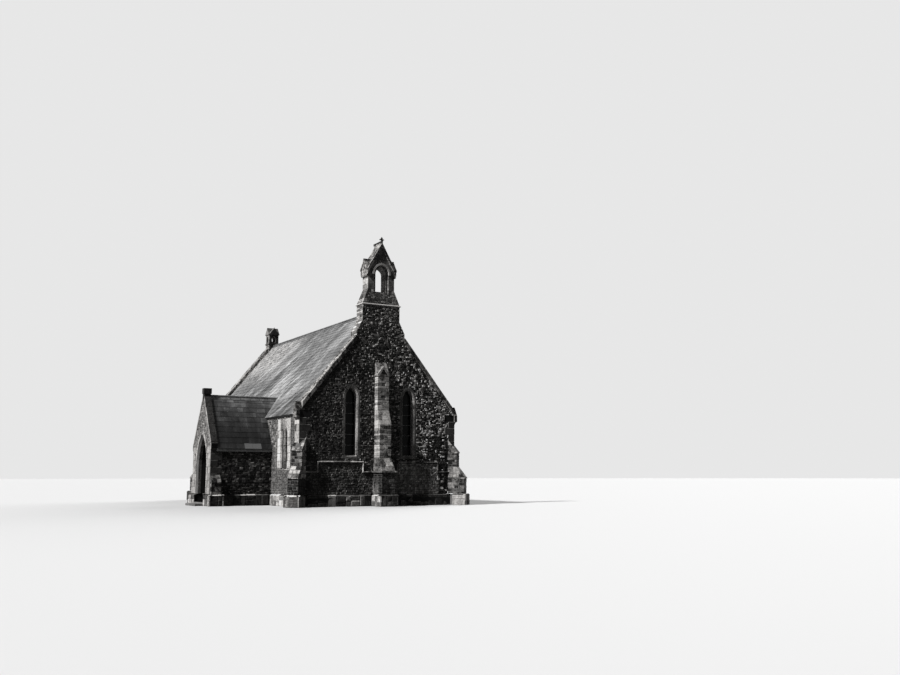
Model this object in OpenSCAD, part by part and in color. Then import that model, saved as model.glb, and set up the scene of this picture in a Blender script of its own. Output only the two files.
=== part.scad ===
// Small stone chapel with a bellcote on the west gable and a south porch.
// Millimetres. +Z is up, +Y points east along the nave, -X is the south side.
// The origin is on the nave centre line, midway along it, at the lowest ground.

/* [Nave] */
// Width of the nave over its side walls
nave_w = 7400; // [6400:50:8600]
// Length of the nave over its gable walls
nave_l = 14500; // [13800:50:17000]
// Thickness of the side walls
side_wall_t = 650; // [500:10:800]
// Thickness of the gable walls
gable_wall_t = 750; // [680:10:900]
// Height of the side walls at their outer face
eaves_h = 3820; // [3700:10:4400]
// Height of the nave floor above the lowest ground
floor_h = 300; // [220:10:400]
// Height of the projecting footing course
footing_h = 500; // [420:10:560]
// Projection of the footing course
footing_out = 120; // [60:5:160]
// Height of the chamfer on top of the footing course
footing_chamfer = 60; // [20:5:100]

/* [Nave roof] */
// Pitch of the nave roof in degrees
roof_pitch = 50.8; // [47:0.1:54]
// Thickness of the roof covering and its boards
roof_t = 100; // [80:5:180]
// Distance that the eaves stand out from the side walls
eaves_out = 110; // [60:5:180]
// Width of the parapets that the copings cover
parapet_t = 400; // [350:5:520]
// Thickness of the coping stones
coping_t = 160; // [120:5:200]
// Overhang of the coping stones
coping_out = 50; // [20:5:80]
// Radius of the roll on top of a ridge tile
ridge_r = 45; // [35:5:70]
// Length of the wings of a ridge tile down each slope
ridge_wing = 150; // [110:5:200]
// Thickness of a ridge tile
ridge_t = 25; // [18:1:35]

/* [Kneelers] */
// Length of a kneeler stone inside the wall face
kneeler_in = 110; // [60:5:200]
// Distance that a kneeler stands out from the side wall
kneeler_out = 145; // [130:5:220]
// Height of a kneeler gablet above its block
kneeler_gablet_h = 400; // [300:10:460]
// Height of the moulded corbel under a kneeler
kneeler_corbel_h = 390; // [300:10:440]

/* [Pointed heads] */
// Radius of a lancet head as a share of the lancet's width
lancet_sharp = 1; // [0.85:0.01:1.1]
// Radius of the other pointed window heads as a share of the opening's width
window_sharp = 0.78; // [0.7:0.01:1]
// Radius of the belfry arches as a share of the opening's width
belfry_sharp = 0.62; // [0.55:0.01:0.9]
// Radius of the door arches as a share of the opening's width
door_sharp = 1; // [0.85:0.01:1.05]

/* [Gable lancets] */
// Distance of a gable lancet from the centre line
lancet_x = 1360; // [1250:10:1600]
// Width of a gable lancet
lancet_w = 500; // [420:10:600]
// Height of a gable lancet sill
lancet_sill_h = 2160; // [2120:10:2400]
// Height of a gable lancet's jambs
lancet_jamb_h = 2440; // [2000:10:2500]
// Depth of the glass behind the wall face
glass_in = 280; // [200:10:340]
// Thickness of a sheet of window glass
glass_t = 12; // [6:1:20]
// Width of the dressed stone round a lancet
surround_w = 150; // [100:5:180]
// Depth of the dressed stone in the wall
surround_in = 150; // [110:5:190]
// Distance that dressed stone stands proud of the rubble
surround_proud = 12; // [6:1:20]
// Width of the chamfer on the edges of the dressed openings
chamfer = 60; // [30:5:80]
// Fall of the sloping sills over the depth of the dressed stone
sill_fall = 60; // [30:5:80]

/* [Side windows] */
// Distance from the gable faces to the middle of the end windows
window_end = 1750; // [1650:10:1900]
// Number of bays along the nave
bays = 5; // [4:1:5]
// Width of a side window over both its lights
side_open_w = 700; // [640:10:760]
// Width of the mullion between the two lights
mullion_w = 220; // [180:10:260]
// Height of a side window sill
side_sill_h = 1600; // [1500:10:1700]
// Height of a side window's jambs
side_jamb_h = 1460; // [1300:10:1480]
// Width of the block of dressed stone round a side window
side_dressed_w = 1600; // [1400:10:1700]
// Height of the dressed sill course under a side window
side_sill_t = 90; // [75:5:130]
// Height of rubble between the dressed stone and the eaves
side_head_gap = 110; // [60:5:140]

/* [String courses] */
// Height of the top of the low string course
low_string_h = 1480; // [1380:10:1550]
// Step from the low string course up to the raised one
string_step = 420; // [340:10:460]
// Height of a string course on its face
string_t = 75; // [50:5:100]
// Projection of a string course
string_out = 60; // [30:5:90]
// Distance from the centre line of the inner upright of the string
string_inner_x = 740; // [650:10:820]
// Distance from the centre line of the outer upright of the string
string_outer_x = 2890; // [2600:10:3000]

/* [Central buttress] */
// Half width of the upper stages of the central buttress
pier_hw = 275; // [220:5:300]
// Half width of the base stage
pier_base_hw = 315; // [300:5:380]
// Projection of the top stage
pier_top_d = 300; // [240:10:360]
// Projection of the middle stage
pier_mid_d = 540; // [440:10:620]
// Projection of the base stage
pier_base_d = 900; // [760:10:1000]
// Rise of the lower weathering above the low string
pier_low_rise = 560; // [420:10:640]
// Height of the middle stage
pier_mid_stage_h = 1400; // [1200:10:1500]
// Rise of the upper weathering
pier_upper_rise = 640; // [400:10:720]
// Height of the top stage
pier_top_stage_h = 1540; // [1400:10:1600]
// Height of the head gablet
pier_gablet_h = 400; // [320:10:440]
// Rise of the weathering behind the head gablet
pier_head_rise = 570; // [450:10:600]
// Thickness of the gablet stones
gablet_t = 80; // [60:5:100]
// Depth of the sunk face under the gablet stones
gablet_sunk = 60; // [30:5:80]
// Projection of the drips at the foot of the weatherings
drip_out = 35; // [20:5:50]
// Height of the drips
drip_t = 45; // [30:5:60]

/* [Corner buttresses] */
// Width of a corner buttress
corner_w = 480; // [400:10:560]
// Projection of the upper stage from the corner
corner_mid_d = 185; // [140:5:260]
// Projection of the lower stage from the corner
corner_base_d = 525; // [440:5:620]
// Height of the foot of the lower weathering
corner_base_h = 1200; // [1100:10:1300]
// Height of the upper stage between its weatherings
corner_stage_h = 640; // [520:5:720]
// Slope of the weatherings in degrees
corner_slope = 52; // [45:1:60]

/* [Bellcote] */
// Half width of the bellcote at its shoulders
shoulder_hw = 1165; // [1080:5:1250]
// Height of the shoulders' sides above the roof
shoulder_side_h = 430; // [350:5:500]
// Rise of the shoulders' weathering
shoulder_rise = 505; // [420:5:560]
// Half width of the bellcote shaft
shaft_hw = 905; // [820:5:960]
// Depth of the bellcote shaft
shaft_d = 640; // [600:5:670]
// Height of the shaft between its shoulders and its string
shaft_stage_h = 670; // [560:5:760]
// Height of the bellcote string on its face
bell_string_t = 80; // [60:5:110]
// Projection of the bellcote string
bell_string_out = 45; // [30:5:70]
// Rise of the splayed base of the belfry
splay_rise = 650; // [550:5:700]
// Half width of the belfry stage
belfry_hw = 645; // [580:5:700]
// Depth of the belfry stage
belfry_d = 560; // [500:5:600]
// Width of the belfry opening
bell_open_w = 500; // [450:5:560]
// Height of the belfry piers up to the spring of the arch
bell_jamb_h = 710; // [600:5:760]
// Depth of the belfry sill below the foot of the piers
bell_sill_drop = 90; // [60:5:120]
// Width of the outer order of the belfry arch on the west face
bell_order_w = 100; // [80:5:120]
// Depth of the outer order
bell_order_in = 60; // [40:5:120]
// Fall of the sill in front of the belfry opening
bell_sill_fall = 80; // [40:5:120]
// Width of the hood mould on its face
hood_w = 90; // [50:5:100]
// Drop of the hood mould's feet under the spring
hood_foot = 30; // [20:5:60]
// Projection of the hood mould
hood_out = 55; // [30:5:80]

/* [Bellcote roof] */
// Height of the roof feet above the spring of the belfry arch
bell_roof_lift = 170; // [150:5:240]
// Height of the bellcote roof from its feet to its ridge
bell_roof_rise = 1260; // [1150:5:1350]
// Half width of the bellcote roof at its feet
bell_roof_hw = 705; // [680:5:800]
// Overhang of the bellcote roof in front and behind
bell_roof_out = 80; // [60:5:120]
// Thickness of the bellcote roof stones
bell_roof_t = 110; // [80:5:140]
// Radius of the rolls on the bellcote ridges
bell_roll_r = 35; // [25:1:45]
// Height of the ridge roll's centre above the ridge of the roof stones
bell_crest_h = 55; // [40:5:70]
// Distance that the ridge roll runs on past the roof stones at the back
bell_crest_out = 150; // [60:5:200]
// Half width of a side gablet
gablet_hw = 330; // [270:5:360]
// Height of a side gablet above the roof feet
gablet_rise = 490; // [400:5:520]
// Depth of the corbelled block under a side gablet
gablet_block_h = 300; // [220:5:340]
// Height of the finial above the ridge
finial_h = 270; // [220:5:360]
// Radius of the finial's stem
finial_r = 35; // [25:1:50]
// Length of the arms of the finial from its centre
finial_arm = 105; // [80:5:140]

/* [East turret] */
// Width of the turret on the east gable
turret_w = 550; // [480:10:620]
// Height of the turret shaft above the roof
turret_shaft_h = 450; // [360:10:600]
// Height of the band under the turret openings
turret_band_h = 70; // [50:5:100]
// Projection of the band
turret_band_out = 35; // [20:5:60]
// Height of the turret head above its band
turret_head_h = 490; // [440:10:560]
// Height of the gablets of the turret
turret_gablet_h = 390; // [300:10:440]
// Overhang of the turret gablets
turret_out = 45; // [30:5:70]
// Width of a turret opening
turret_open_w = 220; // [160:10:240]
// Height of the straight jambs of a turret opening
turret_jamb_h = 110; // [80:5:130]
// Height of the sill of a turret opening above the band
turret_sill = 40; // [20:5:50]

/* [Porch] */
// Distance of the porch front from the nave centre line
porch_x = 6430; // [6000:10:7000]
// Bay that the porch stands in, with 0 at the west end
porch_bay = 1; // [1:1:3]
// Distance of the porch centre line east of the middle of its bay
porch_shift = 100; // [0:10:150]
// Width of the porch over its side walls
porch_w = 2720; // [2600:10:2800]
// Thickness of the porch side walls
porch_side_t = 420; // [320:10:460]
// Thickness of the porch front wall
porch_front_t = 420; // [380:10:500]
// Height of the porch side walls at their outer face
porch_eaves_h = 2360; // [2250:10:2450]
// Pitch of the porch roof in degrees
porch_pitch = 58; // [55:0.5:60]
// Thickness of the porch roof
porch_roof_t = 120; // [90:5:150]
// Distance that the porch eaves stand out
porch_eaves_out = 90; // [60:5:140]
// Height of the porch floor above the lowest ground
porch_floor_h = 180; // [150:10:200]
// Width of the porch doorway
door_w = 1450; // [1350:10:1550]
// Height of the porch doorway's jambs above its floor
door_jamb_h = 1590; // [1500:10:1650]
// Width of the porch parapet
porch_parapet_t = 240; // [200:5:300]
// Thickness of the porch coping
porch_coping_t = 110; // [80:5:140]
// Overhang of the porch coping
porch_coping_out = 30; // [15:5:50]
// Depth of the toe at the foot of the porch coping
porch_toe_h = 240; // [200:5:300]
// Width of the block on the porch apex
apex_block_w = 300; // [260:10:380]
// Height of the block above the porch ridge
apex_block_h = 360; // [300:10:420]
// Height of the cap on the block
apex_cap_h = 240; // [200:10:260]
// Distance that the cap stands out from the block
apex_cap_out = 25; // [15:5:40]
// Width of a porch buttress
porch_butt_w = 430; // [360:10:480]
// Projection of a porch buttress
porch_butt_d = 260; // [200:10:320]
// Height of the foot of a porch buttress weathering
porch_butt_h = 1000; // [900:10:1100]
// Rise of a porch buttress weathering
porch_butt_rise = 350; // [280:10:420]
// Length of the doorstep from the porch front
step_d = 330; // [300:10:380]
// Height of the doorstep
step_h = 100; // [80:5:130]

/* [Nave doorway] */
// Width of the nave doorway inside the porch
inner_door_w = 1100; // [1000:10:1200]
// Height of the nave doorway's jambs above the nave floor
inner_jamb_h = 1600; // [1500:10:1650]
// Thickness of the plank door
door_t = 60; // [45:5:80]
// Depth of the door behind the wall face
door_in = 150; // [120:10:200]

/* [Hidden] */
$fn = 48;
eps = 1;

nave_hw = nave_w / 2;
nave_hl = nave_l / 2;
roof_slope = tan(roof_pitch);
roof_drop = roof_t / cos(roof_pitch);
coping_rise = coping_t / cos(roof_pitch);
ridge_h = eaves_h + roof_drop + roof_slope * nave_hw;
big = 4 * nave_l;

lancet_spring_h = lancet_sill_h + lancet_jamb_h;
side_spring_h = side_sill_h + side_jamb_h;
door_spring_h = porch_floor_h + door_jamb_h;
inner_spring_h = floor_h + inner_jamb_h;
high_string_h = low_string_h + string_step;

// Distance between the windows, and the width of one of their lights
bay = round((nave_l - 2 * window_end) / (bays - 1));
side_light_w = (side_open_w - mullion_w) / 2;

// Ends of the side walls between the gables and beside the inner doorway
porch_cy = window_y(porch_bay) + porch_shift;
wall_y0 = -nave_hl + gable_wall_t;
wall_y1 = nave_hl - gable_wall_t;
door_y0 = porch_cy - inner_door_w / 2;
door_y1 = porch_cy + inner_door_w / 2;

porch_hw = porch_w / 2;
porch_slope = tan(porch_pitch);
porch_drop = porch_roof_t / cos(porch_pitch);
porch_ridge_h = porch_eaves_h + porch_drop + porch_slope * porch_hw;

// Stages of the bellcote, each on top of the last, in whole millimetres above the roof
bell_seat_h = ridge_h - roof_slope * shoulder_hw;
shoulder_h = round(bell_seat_h + shoulder_side_h);
shaft_foot_h = shoulder_h + shoulder_rise;
bell_string_h = shaft_foot_h + shaft_stage_h;
splay_h = bell_string_h + bell_string_t;
splay_top_h = splay_h + splay_rise;
bell_sill_h = splay_top_h - bell_sill_drop;
bell_spring_h = splay_top_h + bell_jamb_h;
bell_roof_h = bell_spring_h + bell_roof_lift;
bell_ridge_h = bell_roof_h + bell_roof_rise;
bell_roof_slope = bell_roof_rise / bell_roof_hw;
bell_roof_drop = bell_roof_t * sqrt(1 + bell_roof_slope * bell_roof_slope);
bell_roof_d = belfry_d + 2 * bell_roof_out;
belfry_y = -nave_hl + (shaft_d - belfry_d) / 2;
belfry_cy = belfry_y + belfry_d / 2;

turret_seat_h = ridge_h - roof_slope * turret_w / 2;
turret_h = round(turret_seat_h + turret_shaft_h);
turret_cy = nave_hl - turret_w / 2;

stone = "#8b8781";
dressed = "#b4afa4";
slate = "#73757a";
glass_colour = "#2b3136";
timber = "#5b4a39";

// Outline of a pointed opening, grown by a border: width, sill, spring, sharpness
module pointed(w, sill, spring, sharp, grow = 0) {
    r = sharp * w;
    translate([-w / 2 - grow, sill - grow]) square([w + 2 * grow, spring - sill + grow]);
    translate([0, spring]) intersection() {
        translate([r - w / 2, 0]) circle(r = r + grow);
        translate([w / 2 - r, 0]) circle(r = r + grow);
        translate([-w, 0]) square([2 * w, 2 * w]);
    }
}

// A flat outline drawn in X and Z, run along Y from y0 for a length
module along_y(y0, l) {
    translate([0, y0 + l, 0]) rotate([90, 0, 0]) linear_extrude(l) children();
}

// A flat outline drawn in Y and Z, run along X from x0 for a length
module along_x(x0, l) {
    translate([x0, 0, 0]) rotate([90, 0, 90]) linear_extrude(l) children();
}

// Frames on the faces of the west gable and the north wall, with +Z pointing out
module on_gable() {
    translate([0, -nave_hl, 0]) rotate([90, 0, 0]) children();
}

module on_side() {
    translate([nave_hw, 0, 0]) rotate([90, 0, 90]) children();
}

// A flat outline in a face frame, from a depth behind the face for a thickness
module slab(behind, t) {
    translate([0, 0, -behind]) linear_extrude(t) children();
}

// The same shape at both ends of the nave
module both_gables() {
    children();
    mirror([0, 1, 0]) children();
}

// The same shape on both sides of the nave
module both_sides() {
    children();
    mirror([1, 0, 0]) children();
}

// The same shape on both sides of the porch
module both_porch_sides() {
    translate([0, porch_cy, 0]) {
        children();
        mirror([0, 1, 0]) children();
    }
}

// Gable outline in X and Z with its sloping edges a distance below the roof surface
module gable_outline(drop, foot) {
    side = ridge_h - drop - roof_slope * nave_hw;
    polygon([[-nave_hw, foot], [nave_hw, foot], [nave_hw, side], [0, ridge_h - drop],
             [-nave_hw, side]]);
}

// Room for a pointed opening with chamfered edges and a sloping sill, in a face frame
module chamfered_opening(w, sill, spring, sharp, depth) {
    r = sharp * w;
    c = chamfer + eps;
    slab(depth + eps, depth + 2 * eps) pointed(w, sill, spring, sharp);
    translate([0, spring, -chamfer]) intersection() {
        translate([r - w / 2, 0, 0]) cylinder(h = c, r1 = r, r2 = r + c);
        translate([w / 2 - r, 0, 0]) cylinder(h = c, r1 = r, r2 = r + c);
        translate([-w, 0, 0]) cube([2 * w, 2 * w, c]);
    }
    translate([0, spring, -chamfer]) rotate([90, 0, 0]) linear_extrude(spring - sill)
        polygon([[-w / 2, 0], [w / 2, 0], [w / 2 + c, c], [-w / 2 - c, c]]);
    along_x(-w / 2, w)
        polygon([[sill + eps, -depth], [sill, -depth], [sill - sill_fall, eps], [sill + eps, eps]]);
}

// Footing

// Block with a sloping top edge all round, for a footing that stands out
module footing_block(x0, y0, x1, y1) {
    c = footing_chamfer;
    h = footing_h;
    out = footing_out;
    translate([x0 - out, y0 - out, 0]) cube([x1 - x0 + 2 * out, y1 - y0 + 2 * out, h - c]);
    intersection() {
        along_y(y0 - out, y1 - y0 + 2 * out)
            polygon([[x0 - out, h - c - eps], [x1 + out, h - c - eps], [x1 + out, h - c],
                     [x1, h], [x0, h], [x0 - out, h - c]]);
        along_x(x0 - out, x1 - x0 + 2 * out)
            polygon([[y0 - out, h - c - eps], [y1 + out, h - c - eps], [y1 + out, h - c],
                     [y1, h], [y0, h], [y0 - out, h - c]]);
    }
}

module nave_footing() {
    color(stone) difference() {
        union() {
            footing_block(-nave_hw, -nave_hl, nave_hw, nave_hl);
            both_gables() both_sides() corner_frame()
                footing_block(-eps, -corner_w / 2, corner_base_d, corner_w / 2);
            footing_block(-pier_base_hw, -nave_hl - pier_base_d, pier_base_hw, -nave_hl + eps);
        }
        nave_room(-eps, footing_h + eps);
        inner_doorway_cut();
        porch_joint_cut();
    }
}

// Room inside the nave walls between two heights
module nave_room(z0, z1) {
    translate([-nave_hw + side_wall_t, wall_y0, z0])
        cube([nave_w - 2 * side_wall_t, wall_y1 - wall_y0, z1 - z0]);
}

module inner_doorway_cut() {
    translate([-nave_hw - footing_out - eps, door_y0, floor_h])
        cube([side_wall_t + footing_out + 2 * eps, inner_door_w, footing_h]);
}

// The footing of the nave stops at the wall face inside the porch
module porch_joint_cut() {
    translate([-nave_hw - footing_out - eps, porch_cy - porch_hw - footing_out, -eps])
        cube([footing_out + eps, porch_w + 2 * footing_out, footing_h + 2 * eps]);
}

module nave_floor() {
    color(dressed) nave_room(0, floor_h);
}

// Gable walls

module at_lancets() {
    on_gable() for (s = [-1, 1]) translate([s * lancet_x, 0, 0]) children();
}

module lancet_outline(grow = 0) {
    pointed(lancet_w, lancet_sill_h, lancet_spring_h, lancet_sharp, grow);
}

module gable_wall() {
    difference() {
        union() {
            along_y(-nave_hl, parapet_t) gable_outline(0, footing_h);
            along_y(-nave_hl + parapet_t - eps, gable_wall_t - parapet_t + eps)
                gable_outline(roof_drop, footing_h);
        }
        at_lancets() {
            slab(surround_in, surround_in + eps) lancet_outline(surround_w);
            slab(gable_wall_t + eps, gable_wall_t) lancet_outline();
        }
    }
}

module west_wall() {
    color(stone) difference() {
        gable_wall();
        translate([-shoulder_hw, -nave_hl - eps, bell_seat_h])
            cube([2 * shoulder_hw, gable_wall_t + 2 * eps, nave_w]);
    }
}

module east_wall() {
    color(stone) mirror([0, 1, 0]) difference() {
        gable_wall();
        translate([-turret_w / 2, -nave_hl - eps, turret_seat_h])
            cube([turret_w, turret_w + eps, nave_w]);
    }
}

// Side walls

function window_y(i) = -nave_hl + window_end + i * bay;

module side_window_outline() {
    pointed(side_open_w, side_sill_h, side_spring_h, window_sharp);
}

module side_dressed_outline() {
    foot = side_sill_h - side_sill_t;
    translate([-side_dressed_w / 2, foot])
        square([side_dressed_w, eaves_h - side_head_gap - foot]);
}

// One long wall from y0 to y1 with its windows, on the north side
module side_wall(y0, y1, windows) {
    inner = nave_hw - side_wall_t;
    difference() {
        along_y(y0, y1 - y0)
            polygon([[inner, footing_h], [nave_hw, footing_h], [nave_hw, eaves_h],
                     [inner, eaves_h + roof_slope * side_wall_t]]);
        on_side() for (i = windows) translate([window_y(i), 0, 0]) {
            slab(surround_in, surround_in + eps) side_dressed_outline();
            slab(side_wall_t + eps, side_wall_t) side_window_outline();
        }
    }
}

module north_wall() {
    color(stone) side_wall(wall_y0, wall_y1, [0:bays - 1]);
}

module south_wall_west() {
    color(stone) mirror([1, 0, 0]) side_wall(wall_y0, door_y0, [0:porch_bay - 1]);
}

module south_wall_east() {
    color(stone) mirror([1, 0, 0]) side_wall(door_y1, wall_y1, [porch_bay + 1:bays - 1]);
}

module south_wall_over_door() {
    color(stone) difference() {
        mirror([1, 0, 0]) side_wall(door_y0, door_y1, []);
        along_x(-nave_hw - eps, side_wall_t + 2 * eps) inner_door_outline();
    }
}

module inner_door_outline() {
    translate([porch_cy, 0]) pointed(inner_door_w, floor_h, inner_spring_h, door_sharp);
}

module nave_door() {
    color(timber) along_x(-nave_hw + door_in, door_t) inner_door_outline();
}

// Roof

// Notch in the roof where the bellcote comes through
module bellcote_notch() {
    translate([-shoulder_hw, -nave_hl - eps, bell_seat_h - roof_drop])
        cube([2 * shoulder_hw, shaft_d + eps, nave_w]);
}

module turret_notch() {
    translate([-turret_w / 2, nave_hl - turret_w, turret_seat_h - roof_drop])
        cube([turret_w, turret_w + eps, nave_w]);
}

// Foot of a slope, cut square to the slates, as points from the top edge inwards
eave_x = nave_hw + eaves_out;
eave_in = roof_t * sin(roof_pitch);
eave_points = [[eave_x, ridge_h - roof_slope * eave_x],
               [eave_x - eave_in, ridge_h - roof_slope * eave_x - roof_t * cos(roof_pitch)]];

module nave_slope() {
    difference() {
        along_y(-nave_hl + parapet_t, nave_l - 2 * parapet_t)
            polygon([[0, ridge_h], eave_points[0], eave_points[1], [0, ridge_h - roof_drop]]);
        bellcote_notch();
        turret_notch();
    }
}

module nave_roof_north() {
    color(slate) nave_slope();
}

module nave_roof_south() {
    color(slate) mirror([1, 0, 0]) nave_slope();
}

// Section of a ridge tile: two wings on the slopes and a roll, with the ridge at the origin
module ridge_tile_outline(slope) {
    a = atan(slope);
    top = ridge_t / cos(a);
    foot = [ridge_wing * cos(a), -ridge_wing * sin(a)];
    lip = [foot[0] + ridge_t * sin(a), foot[1] + ridge_t * cos(a)];
    polygon([[0, 0], foot, lip, [0, top], [-lip[0], lip[1]], [-foot[0], foot[1]]]);
    difference() {
        translate([0, top]) circle(r = ridge_r);
        polygon([[0, 0], [big, -big * slope], [-big, -big * slope]]);
    }
}

module ridge_tiles() {
    color(slate) {
        translate([0, 0, ridge_h])
            along_y(-nave_hl + shaft_d, nave_l - shaft_d - turret_w)
                ridge_tile_outline(roof_slope);
        difference() {
            translate([0, porch_cy, porch_ridge_h])
                along_x(-porch_x + porch_parapet_t + porch_coping_out,
                        porch_x - porch_parapet_t - porch_coping_out)
                    ridge_tile_outline(porch_slope);
            nave_solid();
        }
    }
}

// Copings

function coping_foot(up) = ridge_h - roof_slope * (nave_hw - kneeler_in) + up;

module coping_side(x0) {
    top = ridge_h - roof_slope * x0;
    along_y(-nave_hl - coping_out, parapet_t + 2 * coping_out)
        polygon([[x0, top], [nave_hw - kneeler_in, coping_foot(0)],
                 [nave_hw - kneeler_in, coping_foot(coping_rise)], [x0, top + coping_rise]]);
}

module west_coping() {
    color(dressed) both_sides() coping_side(shoulder_hw);
}

module east_coping() {
    color(dressed) mirror([0, 1, 0]) both_sides() coping_side(turret_w / 2);
}

// A kneeler: hollow moulded corbel, block and gablet with its ridge across the wall
kneeler_top = coping_foot(coping_rise);
kneeler_foot = kneeler_top - kneeler_gablet_h;

module kneeler() {
    w = parapet_t + coping_out;
    x0 = nave_hw - kneeler_in;
    x1 = nave_hw + kneeler_out;
    z0 = kneeler_foot - kneeler_corbel_h;
    hollow = kneeler_out * 0.8;
    intersection() {
        along_x(x0, x1 - x0) translate([-nave_hl - coping_out, 0])
            polygon([[0, 0], [w, 0], [w, kneeler_foot], [w / 2, kneeler_top], [0, kneeler_foot]]);
        along_y(-nave_hl - coping_out, w) difference() {
            polygon([[nave_hw, z0], [x1, z0], [x1, kneeler_top], [x0, kneeler_top],
                     [x0, coping_foot(0)], [nave_hw, ridge_h - roof_slope * nave_hw]]);
            translate([x1, z0]) circle(r = hollow);
        }
    }
}

module kneelers() {
    color(dressed) both_gables() both_sides() kneeler();
}

// String courses

// One run of moulding on a face, from a to b, with its weathered edge on the left.
// The ends are cut back or forward for a turn to the left (1), right (-1) or none (0).
module string_run(a, b, turn_a, turn_b) {
    d = b - a;
    l = norm(d);
    t = string_t;
    translate([a[0], a[1], 0]) rotate([0, 0, atan2(d[1], d[0])]) intersection() {
        linear_extrude(string_out + eps)
            polygon([[turn_a * eps, eps], [l - turn_b * eps, eps],
                     [l + turn_b * (t + eps), -t - eps], [-turn_a * (t + eps), -t - eps]]);
        along_x(-t - eps, l + 2 * t + 2 * eps)
            polygon([[0, 0], [-0.4 * t, string_out], [-0.75 * t, string_out],
                     [-t, 0.4 * string_out], [-t, 0]]);
    }
}

// The string on half a gable, from x0 outwards, stepping up under the lancet
module string_side(x0) {
    p = [[x0, low_string_h], [string_inner_x, low_string_h], [string_inner_x, high_string_h],
         [string_outer_x, high_string_h], [string_outer_x, low_string_h],
         [nave_hw, low_string_h]];
    turn = [0, 1, -1, -1, 1, 0];
    for (i = [0:4]) string_run(p[i], p[i + 1], turn[i], turn[i + 1]);
}

module west_string() {
    color(dressed) both_sides() difference() {
        on_gable() string_side(pier_base_hw + string_out);
        corner_clear();
    }
}

module east_string() {
    color(dressed) mirror([0, 1, 0]) {
        both_sides() difference() {
            on_gable() string_side(0);
            corner_clear();
        }
    }
}

// Dressed stone round the windows

module lancet_surrounds() {
    depth = surround_in + surround_proud;
    color(dressed) both_gables() at_lancets() difference() {
        slab(surround_in, depth) lancet_outline(surround_w);
        translate([0, 0, surround_proud])
            chamfered_opening(lancet_w, lancet_sill_h, lancet_spring_h, lancet_sharp, depth);
    }
}

// Block of dressed stone with two lights and the mullion between them
module side_surround() {
    depth = surround_in + surround_proud;
    difference() {
        slab(surround_in, depth) side_dressed_outline();
        for (s = [-1, 1]) translate([s * (side_light_w + mullion_w) / 2, 0, surround_proud])
            chamfered_opening(side_light_w, side_sill_h, side_spring_h, window_sharp, depth);
    }
}

module at_side_windows() {
    for (i = [0:bays - 1]) {
        on_side() translate([window_y(i), 0, 0]) children();
        if (i != porch_bay) mirror([1, 0, 0]) on_side() translate([window_y(i), 0, 0]) children();
    }
}

module side_window_surrounds() {
    color(dressed) at_side_windows() side_surround();
}

// Glass

module gable_glazing() {
    color(glass_colour) both_gables() at_lancets() slab(glass_in, glass_t) lancet_outline();
}

module side_glazing() {
    color(glass_colour) at_side_windows() slab(glass_in, glass_t) side_window_outline();
}

// Buttresses

pier_mid_h = low_string_h + pier_low_rise;
pier_upper_h = pier_mid_h + pier_mid_stage_h;
pier_top_h = pier_upper_h + pier_upper_rise;
pier_head_h = pier_top_h + pier_top_stage_h;

// Outline of the central buttress in depth and height, above its base
module central_depth_outline() {
    polygon([[0, low_string_h - eps], [pier_base_d, low_string_h - eps],
             [pier_base_d, low_string_h], [pier_mid_d, pier_mid_h],
             [pier_mid_d, pier_upper_h - drip_t],
             [pier_mid_d + drip_out, pier_upper_h - drip_t],
             [pier_mid_d + drip_out, pier_upper_h],
             [pier_top_d, pier_top_h], [pier_top_d, pier_head_h],
             [0, pier_head_h + pier_head_rise]]);
}

// The same buttress in width and height
module central_width_outline() {
    polygon([[-pier_base_hw, low_string_h - eps], [pier_base_hw, low_string_h - eps],
             [pier_base_hw, low_string_h], [pier_hw, pier_mid_h],
             [pier_hw, pier_head_h + pier_head_rise], [-pier_hw, pier_head_h + pier_head_rise],
             [-pier_hw, pier_mid_h], [-pier_base_hw, low_string_h]]);
}

// Inverted V of gablet stones in X and Z over a width, with its apex at a height
module gablet_outline(hw, foot, apex, t) {
    drop = t * sqrt(1 + pow((apex - foot) / hw, 2));
    polygon([[-hw, foot], [0, apex], [hw, foot], [hw, foot - t], [hw - t, foot - t],
             [0, apex - drop], [-hw + t, foot - t], [-hw, foot - t]]);
}

module central_buttress() {
    front = pier_top_d + drip_out;
    hw = pier_hw + drip_out;
    base_hw = pier_base_hw + string_out;
    base_d = pier_base_d + string_out;
    top = pier_head_h + pier_gablet_h;
    color(stone) on_gable() {
        intersection() {
            rotate([0, -90, 0]) translate([0, 0, -pier_base_hw]) linear_extrude(2 * pier_base_hw)
                central_depth_outline();
            linear_extrude(pier_base_d) central_width_outline();
        }
        translate([-pier_base_hw, footing_h, 0])
            cube([2 * pier_base_hw, low_string_h - footing_h, pier_base_d]);
        translate([-base_hw, low_string_h - string_t, 0]) cube([2 * base_hw, string_t, base_d]);
        linear_extrude(front) gablet_outline(hw, pier_head_h, top, gablet_t);
        linear_extrude(front - gablet_sunk)
            polygon([[-pier_hw, pier_head_h - gablet_t], [pier_hw, pier_head_h - gablet_t],
                     [pier_hw, pier_head_h], [0, top - gablet_t], [-pier_hw, pier_head_h]]);
    }
}

// Frame at the north west corner with +X pointing out along the diagonal
module corner_frame() {
    translate([nave_hw, -nave_hl, 0]) rotate([0, 0, -45]) children();
}

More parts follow.
